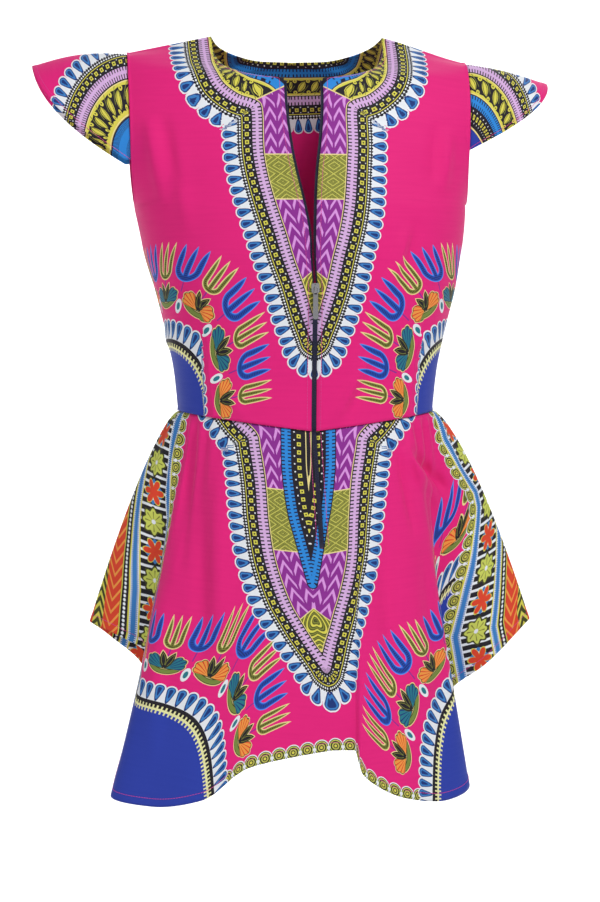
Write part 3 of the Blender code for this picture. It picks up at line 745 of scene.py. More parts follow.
def bodice_sheet(rows, side, facing, part):
    """A half bodice with its creases, its tucked edges and its print maps."""
    places = places_of(rows, FINE_STEPS if facing < 0 else BACK_STEPS)
    raw = panel_points(rows, side, places, np.linspace(0, 1, FINE_COLUMNS + 1))
    points = posed(raw)
    out = outward(points, side * facing)
    if facing > 0:
        joined = np.abs(raw[:, 0, 0]) < SAME_POINT
        out[joined, 0, 0] = 0
        out[joined, 0] /= np.linalg.norm(out[joined, 0], axis=-1, keepdims=True)
    across, down = lengths(raw, 1), lengths(raw, 0)
    to_outer, to_top = across[:, -1:] - across, down[-1:] - down
    height = creased(points, part) + tucked(points, (to_outer, down, to_top))
    z = raw[..., 2]
    dart_x = np.interp(z, (DART_LOW[1], DART_TOP[1]), (DART_LOW[0], DART_TOP[0]))
    past_dart = np.abs(raw[..., 0]) - dart_x
    in_dart = 1 - smooth(z, DART_TOP[1] - DART_FADE, DART_TOP[1])
    height = height - DART_DEPTH * in_dart * np.exp(-((past_dart / DART_WIDE) ** 2))
    line = rounded(YOKE_FRONT if facing < 0 else YOKE_BACK)
    surface = panel_points(rows, 1, places, np.linspace(0, 1, FINE_COLUMNS + 1))
    half = np.abs(raw[..., 0])
    whole = np.stack([half, raw[..., 1], z], axis=-1)
    along, away = line_map(whole, lifted(line, surface), raw[..., [0, 2]], line, tip=facing < 0)
    flat_across = across + raw[:, :1, 0] * side
    beside = (past_dart > 0) | (z > DART_TOP[1])
    flat_x, flat_z = undarted(flat_across, z, beside)
    corner = (*medal_map(flat_x - MEDAL_AWAY, flat_z - MEDAL_Z), FAR)
    flat = (flat_across * side, z, 0 if facing < 0 else FAR)
    made = maps(half.shape, yoke=(along, away, half), corner=corner, flat=flat)
    return Sheet(points + out * height[..., None], made)


# %% [markdown]
# ## The peplum
#
# The skirt is cut like a handkerchief: short at the sides and centre, long at its four corners, and
# gathered at the waist. A medallion sits on each corner and a border of many rows runs down each side.

# %% Peplum
SKIRT_ROWS = 108
SKIRT_STEP = 0.0032
CENTRE_FALL = 7
BORDER_WIDE = 0.13
HEM_SOFT = 0.0015
LEFT_MEDAL_TURN = 0.065
BorderEdge = namedtuple("BorderEdge", "below_waist left right")
BORDER_EDGES = (
    BorderEdge(0.00, 0.042, 0.045),
    BorderEdge(0.035, 0.051, 0.055),
    BorderEdge(0.07, 0.045, 0.067),
    BorderEdge(0.105, 0.034, 0.080),
    BorderEdge(0.12, 0.038, 0.086),
    BorderEdge(0.15, 0.061, 0.098),
    BorderEdge(0.20, 0.094, 0.115),
    BorderEdge(0.25, 0.125, 0.128),
    BorderEdge(0.40, 0.150, 0.135),
)


def skirt_places(falls):
    """Column places about one step apart at the hem, with one at every line of the table."""
    places = []
    for number, (fall, after) in enumerate(zip(falls, falls[1:])):
        span = math.dist(fall[2:5], after[2:5])
        steps = max(1, round(span / SKIRT_STEP)) if span > 3 * ZIP_HALF_GAP else 1
        places.extend(number + step / steps for step in range(steps))
    return np.array(places + [len(falls) - 1])


def skirt_sheet(falls, part):
    places = skirt_places(falls)
    downs = np.linspace(0, 1, SKIRT_ROWS + 1)
    points = fall_points(falls, places, downs)
    points[:, [0, -1], 1] -= (1 if falls is FRONT_FALLS else -1) * SEAM_GAP / 2
    yoke = inner = (FAR, FAR, FAR)
    out = outward(points, 1)
    out *= np.sign((out[:, :, :2] * points[:, :, :2]).sum(axis=-1).mean())
    across, down = lengths(points, 1), lengths(points, 0)
    to_hem = down[-1:] - down
    seams = (across, across[:, -1:] - across, down)
    height = creased(points, part) + tucked(points, seams)
    height = height + HEM_PROUD * smooth(HEM_FOLD - to_hem, -HEM_SOFT, HEM_SOFT)
    centre_lines = (places == CENTRE_FALL) | (places == CENTRE_FALL + 1) & (falls is FRONT_FALLS)
    along = across - across[:, centre_lines].mean(axis=1, keepdims=True)
    angle, radius = medal_map(np.abs(along) - MEDAL_AWAY, to_hem)
    angle = np.where(along > 0, angle - LEFT_MEDAL_TURN, angle)
    if falls is FRONT_FALLS:
        along = along - np.interp(down, *np.array(PRINT_DRIFT).T)
        cut = np.stack([np.abs(along), down], axis=-1)
        line, ladder = rounded(YOKE_SKIRT), rounded(LADDER_SKIRT)
        yoke = (*line_map(cut, line, cut, line), np.abs(along))
        inner = (*line_map(cut, ladder, cut, ladder, tip=False), FAR)
    below, left, right = np.array(BORDER_EDGES).T
    edge = np.where(points[..., 0] > 0, np.interp(down, below, left), np.interp(down, below, right))
    from_side = np.minimum(across, across[:, -1:] - across)
    border = BORDER_WIDE - edge + from_side
    flat = (along, down, border)
    made = maps(along.shape, yoke=yoke, inner=inner, corner=(angle, radius, to_hem), flat=flat)
    return Sheet(points + out * height[..., None], made)


# %% [markdown]
# ## The cap sleeves
#
# Each cap flares out from the upper armhole like a small wing. Its print is a set of rings round the low
# front end of the armhole, and behind it is printed the same way round the low back end.

# %% Sleeves
SLEEVE_COLUMNS = 120
SLEEVE_ROWS = 34
SLEEVE_HALF_LONG = 0.15
SLEEVE_FOLD = 0.0054
SLEEVE_HEM_SOFT = 0.001
Rings = namedtuple("Rings", "inward y above radius outer inner")
RING_FINER, LEAF_COARSER = 1.2, 0.65
SLEEVE_RINGS = {
    "left": Rings(0.005, 0.011, 0.002, 0.0942, 2.07, 1.88),
    "right": Rings(0.007, 0.0, 0.019, 0.0836, 1.33, 1.07),
}


def sleeve_sheet(cap):
    turns = np.linspace(-1, 1, SLEEVE_COLUMNS + 1)
    outs = np.linspace(0, 1, SLEEVE_ROWS + 1)
    points = sleeve_points(cap, turns, outs)
    out = outward(points, 1)
    out *= np.sign(out[..., 2].mean())
    across = lengths(points, 0)
    to_hem = across[-1:] - across
    fold = smooth(SLEEVE_FOLD - to_hem, -SLEEVE_HEM_SOFT, SLEEVE_HEM_SOFT)
    height = tucked(points, (across,)) + HEM_PROUD * fold
    rings = SLEEVE_RINGS[cap.name]
    low_end = points[0, 0]
    x = (points[..., 0] - low_end[0]) * cap.side + rings.inward
    y = np.abs(points[..., 1]) + rings.y
    z = points[..., 2] - low_end[2] - rings.above
    away = np.sqrt(x**2 + y**2 + z**2)
    past = away - rings.radius
    across_rings = past * np.where(past > 0, rings.outer, rings.inner)
    yoke = (np.arctan2(z, x) * rings.radius * RING_FINER, across_rings, FAR)
    flat = (turns[None, :] * SLEEVE_HALF_LONG, across, FAR)
    return Sheet(points + out * height[..., None], maps(height.shape, yoke=yoke, flat=flat))


# %% [markdown]
# ## Writing node patterns as arithmetic
#
# A print made of bands and repeated motifs is arithmetic on a few numbers. In Blender that arithmetic is
# a net of Math nodes. A small class lets a motif be written as a formula, and each operation on a number
# adds its node. Lengths inside a motif are in millimetres, as on a cutter's drawing.

# %% Numbers in a node tree
def number(tree, operation, *values):
    """The result of one Math node."""
    node = tree.nodes.new("ShaderNodeMath")
    node.operation = operation
    for socket, value in zip(node.inputs, values):
        if isinstance(value, Number):
            tree.links.new(value.socket, socket)
        else:
            socket.default_value = value
    return Number(tree, node.outputs["Value"])


class Number:
    """A number at each point of a surface. Arithmetic on it adds Math nodes, and a test gives 1 or 0."""

    def __init__(self, tree, socket):
        self.tree, self.socket = tree, socket

    def root(self):
        return number(self.tree, "SQRT", self.most(0.0))

    def near(self, pitch):
        """The distance to the nearest repeat, where repeats lie one pitch apart."""
        return number(self.tree, "PINGPONG", self, pitch / 2)

    def cell(self, pitch):
        """The number of the nearest repeat."""
        return number(self.tree, "FLOOR", self / pitch + 0.5)

    def odd(self, pitch):
        """1 at every second repeat."""
        return number(self.tree, "FLOORED_MODULO", self.cell(pitch), 2.0)

    def offset(self, pitch):
        """How far past the nearest repeat a point lies, negative before it."""
        return self - self.cell(pitch) * pitch


def math_method(operation, turned=False):
    """A method that adds one Math node. A turned one takes its numbers the other way round."""
    def method(self, *others):
        values = (*others, self) if turned else (self, *others)
        return number(self.tree, operation, *values)
    return method


for method_name, operation in {
    "__add__": "ADD", "__sub__": "SUBTRACT", "__mul__": "MULTIPLY", "__truediv__": "DIVIDE",
    "__pow__": "POWER", "__abs__": "ABSOLUTE", "__lt__": "LESS_THAN", "__gt__": "GREATER_THAN",
    "__and__": "MULTIPLY", "__or__": "MAXIMUM", "least": "MINIMUM", "most": "MAXIMUM",
    "sine": "SINE", "cosine": "COSINE", "turn_from": "ARCTAN2",
}.items():
    setattr(Number, method_name, math_method(operation))
for method_name, operation in (("__radd__", "ADD"), ("__rsub__", "SUBTRACT"), ("__rmul__", "MULTIPLY")):
    setattr(Number, method_name, math_method(operation, turned=True))


def away_from(across, along):
    """The length of a right triangle's long side."""
    return (across * across + along * along).root()


def paint(tree, under, over, mask):
    """Lays one colour over another where the mask is 1."""
    mix = tree.nodes.new("ShaderNodeMix")
    mix.data_type = "RGBA"
    for index, value in ((0, mask), (6, under), (7, over)):
        if isinstance(value, Number):
            tree.links.new(value.socket, mix.inputs[index])
        elif isinstance(value, bpy.types.NodeSocket):
            tree.links.new(value, mix.inputs[index])
        else:
            mix.inputs[index].default_value = value
    return mix.outputs[2]


def new_group(name, inputs, outputs):
    """An empty node group: its tree, its inputs as Numbers, and the node of its outputs."""
    tree = bpy.data.node_groups.new(name, "ShaderNodeTree")
    for label in inputs:
        tree.interface.new_socket(name=label, in_out="INPUT", socket_type="NodeSocketFloat")
    for label, kind in outputs:
        tree.interface.new_socket(name=label, in_out="OUTPUT", socket_type=f"NodeSocket{kind}")
    entry, leave = tree.nodes.new("NodeGroupInput"), tree.nodes.new("NodeGroupOutput")
    return tree, [Number(tree, entry.outputs[label]) for label in inputs], leave


def motif(name, inputs, draw):
    """A node group that paints the layers and gives the mask that draw works out from the inputs."""
    tree, numbers, leave = new_group(name, inputs, (("Colour", "Color"), ("Mask", "Float")))
    layers, mask = draw(*numbers)
    colour = BLACK
    for over, where in layers:
        colour = paint(tree, colour, over, where)
    tree.links.new(colour, leave.inputs["Colour"])
    tree.links.new(mask.socket, leave.inputs["Mask"])
    return tree


def lay(tree, under, group, *numbers, where=None):
    """Prints a motif over a colour, or only where a mask allows it."""
    node = tree.nodes.new("ShaderNodeGroup")
    node.node_tree = group
    for socket, value in zip(node.inputs, numbers):
        tree.links.new(value.socket, socket)
    mask = Number(tree, node.outputs["Mask"])
    return paint(tree, under, node.outputs["Colour"], mask if where is None else mask & where)


# %% Colours of the print
PINK = srgb(234, 25, 126)
DEEP_BLUE = srgb(40, 62, 172)
DROP_BLUE = srgb(58, 128, 200)
DROP_DARK = srgb(20, 52, 122)
SKY_BLUE = srgb(40, 138, 222)
WHITE = srgb(236, 240, 246)
LAVENDER = srgb(218, 178, 226)
PURPLE = srgb(142, 42, 148)
CHEVRON_LIGHT = srgb(222, 152, 228)
YELLOW = srgb(222, 214, 84)
OLIVE = srgb(128, 132, 52)
GOLD = srgb(196, 194, 88)
OLIVE_DARK = srgb(66, 68, 28)
BLACK = srgb(28, 24, 34)
CREAM = srgb(240, 222, 150)
ORANGE = srgb(244, 158, 68)
RED = srgb(228, 68, 40)
TEAL = srgb(34, 122, 138)
LIME = srgb(206, 214, 96)
GREEN = srgb(120, 140, 62)
NAVY = srgb(26, 26, 60)
LIGHT_BLUE = srgb(70, 140, 236)
ROYAL_BLUE = srgb(28, 74, 190)
LIGHT_CREAM = srgb(238, 236, 172)

# %% [markdown]
# ## The bands of the yoke
#
# Seen from its edge inwards, the yoke has blue drops on a scalloped white edge, two rows of dots, a
# yellow line, a row of small squares, a lavender ladder and a cream line. The same bands go round the
# neck, down the chest, round the point below the waist and over the sleeves. A stack of rows is a table:
# each row has its place across the band, its half width or radius, its colour and its repeat.

# %% Rows of a band
Row = namedtuple("Row", "kind place half tint pitch shift reach share ground", defaults=(1, 0, 0, 0, None))
SQUARE_HALF, SQUARE_HEART = 2.1, 0.4
LADDER_MARGIN = 1.0


def row_layers(row, along, across):
    """One row's layers: all below a place, a line, dots, open squares, or a bar whose rungs stand out."""
    across = across - row.place
    if row.kind == "below":
        return [(row.tint, across < 0.0)]
    if row.kind == "line":
        return [(row.tint, abs(across) < row.half)]
    nearest = (along + row.shift).near(row.pitch)
    if row.kind == "dots":
        return [(row.tint, away_from(nearest, across) < row.half)]
    if row.kind == "squares":
        edge = nearest.most(abs(across))
        return [(row.tint, edge < row.half), (OLIVE_DARK, edge < row.half * SQUARE_HEART)]
    rungs = (nearest < row.pitch * row.share) & (abs(across) < row.reach)
    ground = [(row.ground, abs(across) < row.reach + LADDER_MARGIN)] if row.ground else []
    return [*ground, (row.tint, rungs | (abs(across) < row.half))]


def all_rows(rows, along, across):
    return [layer for row in rows for layer in row_layers(row, along, across)]


# %% Bands
Drops = namedtuple("Drops", "pitch long half")
YOKE_DROPS, CORNER_DROPS = Drops(11.4, 16.0, 4.2), Drops(10.4, 18.0, 4.1)
DROP_HALO, DROP_RIM, DROP_SET, DROP_TAPER = 1.4, 0.8, 1.5, 0.5
CORE_START, CORE_LONG, CORE_HALF = 0.34, 0.52, 0.42
DROP_START = 20.8
BAND_END, INSIDE = -7.1, -7.0
RUNG_PITCH, RUNG_SHARE = 3.9, 0.32
DOT_PITCH = 3.1
SQUARE_PITCH = 8.6
BETWEEN = SQUARE_PITCH / 2
YOKE_ROWS = (
    Row("below", DROP_START - 0.4, 0, BLACK),
    Row("dots", 20.6, 0.95, BLACK, DOT_PITCH),
    Row("dots", 18.3, 0.95, WHITE, DOT_PITCH, DOT_PITCH / 2),
    Row("line", 15.8, 0.42, YELLOW),
    Row("squares", 10.9, SQUARE_HALF, YELLOW, SQUARE_PITCH),
    Row("dots", 7.7, 0.75, WHITE, SQUARE_PITCH, BETWEEN),
    Row("dots", 13.8, 0.6, WHITE, SQUARE_PITCH, BETWEEN),
    Row("ladder", 0, 1.5, LAVENDER, RUNG_PITCH, 0, 5.1, RUNG_SHARE, BLACK),
    Row("line", -6.6, 0.45, CREAM),
)
INNER_ROWS = (
    Row("line", -27.6, 0.4, CREAM),
    Row("below", -28.2, 0, BLACK),
    Row("ladder", -34.0, 1.5, SKY_BLUE, RUNG_PITCH, 0, 4.9, RUNG_SHARE, NAVY),
    Row("squares", -46.5, SQUARE_HALF, YELLOW, SQUARE_PITCH),
    Row("dots", -42.0, 0.8, WHITE, SQUARE_PITCH, BETWEEN),
    Row("dots", -50.5, 0.7, WHITE, SQUARE_PITCH, BETWEEN),
    Row("line", -54.5, 0.6, CREAM),
    Row("below", -55.4, 0, DEEP_BLUE),
)
SKIRT_LADDER_ROWS = (
    Row("squares", -13.5, SQUARE_HALF, YELLOW, SQUARE_PITCH),
    Row("dots", -8.6, 0.85, WHITE, SQUARE_PITCH, BETWEEN),
    Row("line", -21.0, 0.5, CREAM),
    Row("ladder", 0, 1.6, SKY_BLUE, RUNG_PITCH, 0, 4.9, RUNG_SHARE, NAVY),
)
SKIRT_LADDER_EDGE = 6.0
LEAF_PITCH, LEAF_MIDDLE, LEAF_HALF_BAND = 15.0, -17.0, 9.6
LEAF_COS, LEAF_SIN, LEAF_HALF, LEAF_REACH = 0.84, 0.54, 3.6, 8.0


def in_drop(across, up, long, half, grow=0.0):
    """1 inside a drop whose tip is at up = 0 and whose round end is long away."""
    middle = long - half
    past = (up - middle).most(0.0)
    cap = ((half + grow) ** 2 - past * past).root()
    return across < cap * ((up + grow) / middle).most(0.0).least(1.0) ** DROP_TAPER


def drop_row(along, up, drops):
    """Blue drops on white, with the white's scalloped edge: their layers, and where they lie."""
    across, long, half = along.near(drops.pitch), drops.long, drops.half
    lies = in_drop(across, up, long, half, DROP_HALO) | (up > -0.5) & (up < long - half - DROP_SET)
    return [
        (WHITE, lies),
        (DROP_DARK, in_drop(across, up, long, half)),
        (DROP_BLUE, in_drop(across, up - DROP_SET, long - DROP_SET, half, -DROP_RIM)),
        (DROP_DARK, in_drop(across, up - long * CORE_START, long * CORE_LONG, half * CORE_HALF)),
    ], lies


def yoke_bands(along, across):
    layers, drops_lie = drop_row(along, across - DROP_START, YOKE_DROPS)
    lies = (across > BAND_END) & ((across < DROP_START) | drops_lie)
    return layers + all_rows(YOKE_ROWS, along, across), lies


def inner_bands(along, across):
    """Inside the cream line: yellow leaves on black, a blue ladder, squares, and deep blue."""
    up, nearest, cell = across - LEAF_MIDDLE, along.near(LEAF_PITCH), along.offset(LEAF_PITCH)
    turned, sideways = up * LEAF_COS + cell * LEAF_SIN, cell * LEAF_COS - up * LEAF_SIN
    leaf = LEAF_HALF * (1.0 - (turned * turned) / LEAF_REACH**2)
    curl = away_from(nearest - LEAF_PITCH / 2, abs(up) - 7.0)
    layers = [
        (YELLOW, (LEAF_HALF_BAND - abs(up)) < 2.2 - nearest * 0.16),
        (OLIVE, abs(cell - up * 0.8 + 6.5) < 0.5),
        (YELLOW, abs(sideways) < leaf),
        (OLIVE_DARK, abs(abs(sideways) - leaf * 0.62) < 0.35),
        (YELLOW, curl < 2.3),
        (OLIVE_DARK, curl < 0.8),
    ]
    return layers + all_rows(INNER_ROWS, along, across), across < INSIDE


def skirt_ladder(along, across):
    """The blue ladder that hangs inside the skirt's yoke, with squares on black between its two sides."""
    return all_rows(SKIRT_LADDER_ROWS, along, across), across < SKIRT_LADDER_EDGE


# %% Panels inside the yoke
PANEL_WIDE = 25.0
CHEVRON_PITCH, CHEVRON_WIDE, CHEVRON_SLOPE, CHEVRON_HALF = 14.0, 14.0, 1.9, 2.5
DIAMOND_PITCH, DIAMOND_STEP = 17.0, 0.5
KNOT_SLOPE, KNOT_PITCH = 0.8, 5.0
PANEL_LINE = 0.6
PANEL_SHIFT = 12.0
Panel = namedtuple("Panel", "kind top")
CHEST_PANELS = (
    Panel("chevrons", -38), Panel("diamonds", -112.5), Panel("chevrons", -159.5), Panel("rings", -233),
)
SKIRT_PANELS = (
    Panel("chevrons", 10), Panel("diamonds", -66), Panel("chevrons", -130), Panel("rings", -188),
)


def chevrons(across, up, where):
    sideways = (across - CHEVRON_WIDE / 2).near(CHEVRON_WIDE)
    stripe = up + sideways * CHEVRON_SLOPE
    stroke = (stripe.near(CHEVRON_PITCH) < CHEVRON_HALF) & (sideways < CHEVRON_WIDE * 0.42)
    return [(PURPLE, where), (CHEVRON_LIGHT, where & stroke)]


def diamonds(across, up, where):
    ring = up.near(DIAMOND_PITCH) / (DIAMOND_PITCH / 2) + abs(across - PANEL_WIDE / 2) / (PANEL_WIDE / 2)
    step = ring.near(DIAMOND_STEP)
    return [(GOLD, where), (OLIVE, where & (step > 0.19)), (OLIVE_DARK, where & (abs(step - 0.13) < 0.035))]


def rings(across, up, where):
    step = away_from(across, up).near(KNOT_PITCH)
    return [(OLIVE, where), (YELLOW, where & (step < 0.9)), (OLIVE_DARK, where & (abs(step - 1.5) < 0.35))]


PANEL_KINDS = {"chevrons": chevrons, "diamonds": diamonds, "rings": rings}


def panel_stack(panels):
    """Panels one below another down the yoke, parted by cream lines that dip at the rings."""
    def draw(across, up, half):
        layers = []
        for panel in panels:
            knot = panel.kind == "rings"
            level = up - panel.top + half * KNOT_SLOPE if knot else up - panel.top
            place = half if knot else BAND_END - across
            layers += PANEL_KINDS[panel.kind](place, level + PANEL_SHIFT, level < 0.0)
            layers.append((CREAM, abs(level) < PANEL_LINE))
        return layers, across < INSIDE
    return draw


# %% [markdown]
# ## Medallions, border and hem
#
# A medallion is a deep blue field in a cream ladder, with drops, a wreath of small two-petalled flowers
# and an outer wreath of three-fingered tulips. The side border is a stack of narrow rows, and a chain of
# rings follows the hem. The motifs are drawn from circles, bars and fans.

# %% Medallion
CORNER_LADDER = 104.0
CORNER_EDGE = 112.0
FIELD_ROWS = (
    Row("below", CORNER_EDGE, 0, BLACK),
    Row("below", CORNER_LADDER, 0, DEEP_BLUE),
    Row("ladder", CORNER_LADDER, 1.2, LIGHT_CREAM, 4.0, 0, 4.3, 0.2),
)
MOTIF_STEP = 0.1535
MOTIF_START = 0.225
FLOWER_RADIUS, TULIP_RADIUS = 147.0, 169.0
TULIP_PITCH, FLOWER_PITCH = MOTIF_STEP * TULIP_RADIUS, 2 * MOTIF_STEP * FLOWER_RADIUS
TULIP_LONG, OLIVE_HALF_CELL = 34.0, 11.2
TULIP_SPREAD, TULIP_THICK, BLUE_SPREADS, BLUE_THICKENS = 7.4, 2.0, 2.9, 0.6
FINGER_LEAN, JOINT = 1.4, 1.5
PETAL_LONG, PETAL_TURN, PETAL_HALF_TURN = 20.0, 1.02, 0.5
PETAL_ROUND, SCALLOPS, SCALLOP_HIGH = 1.1, 9.0, 1.5
RIB_PITCH, RIB_START = 0.2, 6.0
LEAF_CURVE_UP, LEAF_CURVE_RADIUS = 17.0, 20.0


def either(switch, colour, other, mask):
    """Two layers: one colour, and another over it where the switch is 1."""
    return (colour, mask), (other, mask & switch)


def tulips(along, up):
    """Three fingers that stand on a round base, narrow olive ones and wide blue ones in turn."""
    cell = abs(along.offset(2 * TULIP_PITCH))
    blue = cell > OLIVE_HALF_CELL
    side = abs(cell - blue * TULIP_PITCH) * (1.0 + up / TULIP_RADIUS)
    spread, thick = blue * BLUE_SPREADS + TULIP_SPREAD, blue * BLUE_THICKENS + TULIP_THICK
    cup_up = spread + thick
    rise = (up - cup_up).most(0.0) / (TULIP_LONG - cup_up)
    middle_rise = (up / TULIP_LONG).most(0.0)
    half = thick * (1.0 - rise * rise * rise)
    cup = (thick - abs(away_from(side, up - cup_up) - spread)).least(cup_up - up + JOINT)
    fingers = (half - abs(side - spread - rise * rise * FINGER_LEAN)).least(up - cup_up + JOINT)
    middle = (thick * (1.0 - middle_rise ** 4.0) - side).least(up - 2.0)
    stem = (0.6 - side).least(up + 10.0).least(3.0 - up) > 0.0
    shape = cup | fingers | middle
    return [
        (PURPLE, stem),
        *either(blue, CREAM, LIGHT_BLUE, shape > -0.7),
        *either(blue, OLIVE, ROYAL_BLUE, shape > 0.3),
        *either(blue, OLIVE_DARK, DROP_DARK, (shape > 1.2) & (up.near(1.8) < 0.6)),
    ], stem | (shape > -0.7)


def flowers(along, up):
    """Two ribbed fan petals, two dark leaves between them and a green one below, orange and teal in turn."""
    cell = along.offset(FLOWER_PITCH)
    teal = along.odd(FLOWER_PITCH)
    side = abs(cell)
    reach, fan = away_from(side, up), side.turn_from(up)
    turn = fan - PETAL_TURN
    rim = PETAL_LONG * (1.0 - turn * turn * PETAL_ROUND) + abs((turn * SCALLOPS).cosine()) * SCALLOP_HIGH
    petal = (rim - reach).least((PETAL_HALF_TURN - abs(turn)) * reach)
    dark = (3.1 - (reach - 9.5) * (reach - 9.5) / 30.0 - abs(fan - 0.30) * reach).least(reach - 1.0)
    below = 2.4 - abs(away_from(cell, up - LEAF_CURVE_UP) - LEAF_CURVE_RADIUS)
    leaf = below.least(15.0 - side).least(6.0 - up)
    bud_at = away_from((along + FLOWER_PITCH / 2).offset(FLOWER_PITCH), (up + 2.0) * 0.6)
    bud = (bud_at < 4.2) & (along > 0.0)
    petals = (petal > 0.7) & (dark < -0.4)
    ribs = (turn.near(RIB_PITCH) < 0.03) & (reach > RIB_START)
    shape = petal | leaf | dark
    return [
        (WHITE, bud),
        (TEAL, bud & (bud_at < 2.2)),
        (CREAM, shape > -0.9),
        (OLIVE_DARK, shape > -0.1),
        (BLACK, dark > 0.2),
        (OLIVE, (abs(dark - 1.3) < 0.25) & (reach > 4.0)),
        (GREEN, leaf > 0.6),
        *either(teal, ORANGE, TEAL, petals),
        *either(teal, RED, DROP_DARK, petals & ribs),
    ], (shape > -0.9) | bud


def medallion(angle, radius):
    turn = angle - MOTIF_START
    tulip_layers, tulips_lie = tulips(turn * TULIP_RADIUS, radius - TULIP_RADIUS)
    flower_layers, flowers_lie = flowers(turn * FLOWER_RADIUS, radius - FLOWER_RADIUS)
    drop_layers, drops_lie = drop_row(
        angle * (CORNER_EDGE + CORNER_DROPS.long / 2), radius - CORNER_EDGE, CORNER_DROPS
    )
    layers = tulip_layers + flower_layers + drop_layers
    wreaths = tulips_lie & (turn > -MOTIF_STEP / 2) | flowers_lie & (turn > -MOTIF_STEP)
    field = all_rows(FIELD_ROWS, angle * CORNER_LADDER, radius)
    return layers + field, wreaths | drops_lie | (radius < CORNER_EDGE)


# %% Side border and hem chain
CHAIN_PITCH, CHAIN_UP = 15.0, 4.8
BORDER_CHAIN, BORDER_SOLID, BORDER_END = 118.0, 124.0, 130.5
BLOOM_LOW, BLOOM_MIDDLE, BLOOM_HIGH, BLOOM_PITCH = 70.0, 87.5, 105.0, 62.0
RED_TOP, RED_MIDDLE, LEAFY_TOP, LEAFY_MIDDLE, SEAM_RED = 46.0, 34.0, 22.0, 14.0, 6.0
STRIPE_SLOPE = 1.2
EDGE_ROWS = (
    Row("below", BORDER_CHAIN, 0, WHITE),
    Row("line", 117.0, 1.0, YELLOW),
    Row("ladder", 110.5, 2.6, DROP_BLUE, 2.2, 0, 4.4, 0.3, WHITE),
)
SEAM_ROWS = (
    Row("line", 69.5, 1.2, YELLOW),
    Row("ladder", 63.5, 2.6, DROP_BLUE, 2.2, 0, 4.4, 0.3, WHITE),
    Row("line", 57.5, 1.0, YELLOW),
    Row("below", 56.5, 0, BLACK),
    Row("dots", 52.0, 1.7, WHITE, 4.4),
    Row("line", 47.0, 0.7, YELLOW),
    Row("below", RED_TOP, 0, RED),
)


def ring_chain(along, up):
    """Linked rings with light centres, and a scalloped white edge."""
    across = along.near(CHAIN_PITCH)
    ring = away_from(across, up - CHAIN_UP)
    edge = ring < 8.3
    return [
        (WHITE, edge),
        (OLIVE_DARK, ring < 7.2),
        (LIME, abs(ring - 5.9) < 0.5),
        (BLACK, ring < 4.6),
        (GOLD, abs(ring - 3.2) < 0.7),
        (YELLOW, ring < 1.5),
        (WHITE, away_from(CHAIN_PITCH / 2 - across, up - CHAIN_UP + 1.0) < 1.9),
    ], edge | (up < CHAIN_UP)


def blooms(along, row):
    """Rosettes and stars in turn, on diamonds over black bars."""
    diamond = along.near(BLOOM_PITCH / 2) * 1.1 + abs(row)
    cell, star_at = along.offset(BLOOM_PITCH), (along + BLOOM_PITCH / 2).offset(BLOOM_PITCH)
    rosette, spoke = away_from(cell, row), cell.turn_from(row)
    petals = 12.0 + (spoke * 8.0).cosine() * 1.8
    star = away_from(star_at, row)
    arms = 5.0 + abs((star_at.turn_from(row) * 3.0).cosine()) * 8.5
    return [
        (BLACK, along.near(8.0) < 2.6),
        (DROP_BLUE, diamond < 15.0),
        (WHITE, abs(diamond - 8.5) < 1.2),
        (DROP_DARK, diamond < 4.0),
        (OLIVE_DARK, rosette < petals + 2.2),
        (LIME, rosette < petals),
        (OLIVE, (rosette < 10.5) & (abs((spoke * 4.0).sine()) < 0.28)),
        (WHITE, rosette < 2.4),
        (YELLOW, star < arms + 1.2),
        (RED, star < arms),
    ]


def side_border(along, across):
    """Rows beside the side seam, which is at across = 0. The pink begins at 130."""
    layers, chain_lies = ring_chain(along, across - BORDER_CHAIN)
    busy = (across < BLOOM_HIGH) & (across > BLOOM_LOW)
    slant = abs(across - RED_MIDDLE) * STRIPE_SLOPE
    leafy = abs(across - LEAFY_MIDDLE) * STRIPE_SLOPE
    layers += all_rows(EDGE_ROWS, along, across)
    layers.append((WHITE, busy))
    layers += [(tint, busy & mask) for tint, mask in blooms(along, across - BLOOM_MIDDLE)]
    layers += all_rows(SEAM_ROWS, along, across)
    layers += [
        (ORANGE, (across < RED_TOP) & ((along + slant).near(13.0) < 1.8)),
        (OLIVE_DARK, across < LEAFY_TOP),
        (YELLOW, (across < LEAFY_TOP) & ((along - leafy).near(11.0) < 2.4)),
        (RED, across < SEAM_RED),
    ]
    return layers, (across < BORDER_SOLID) | chain_lies & (across < BORDER_END)


# %% Weave group
def make_weave():
    """The height of crossing threads, and a slight unevenness of the dye, for any woven cloth."""
    tree, (across, along, thread), leave = new_group(
        "plain weave", ("Across", "Along", "Thread"), (("Height", "Float"), ("Uneven", "Float"))
    )
    over = (across / thread * math.pi).sine() * (along / thread * math.pi).sine()
    both = tree.nodes.new("ShaderNodeCombineXYZ")
    tree.links.new((across * 0.02).socket, both.inputs[0])
    tree.links.new((along * 0.3).socket, both.inputs[1])
    slub = tree.nodes.new("ShaderNodeTexNoise")
    slub.inputs["Scale"].default_value = 1.0
    slub.inputs["Detail"].default_value = 3.0
    tree.links.new(both.outputs[0], slub.inputs["Vector"])
    tree.links.new((over * 0.5 + 0.5).socket, leave.inputs["Height"])
    tree.links.new(slub.outputs["Fac"], leave.inputs["Uneven"])
    return tree


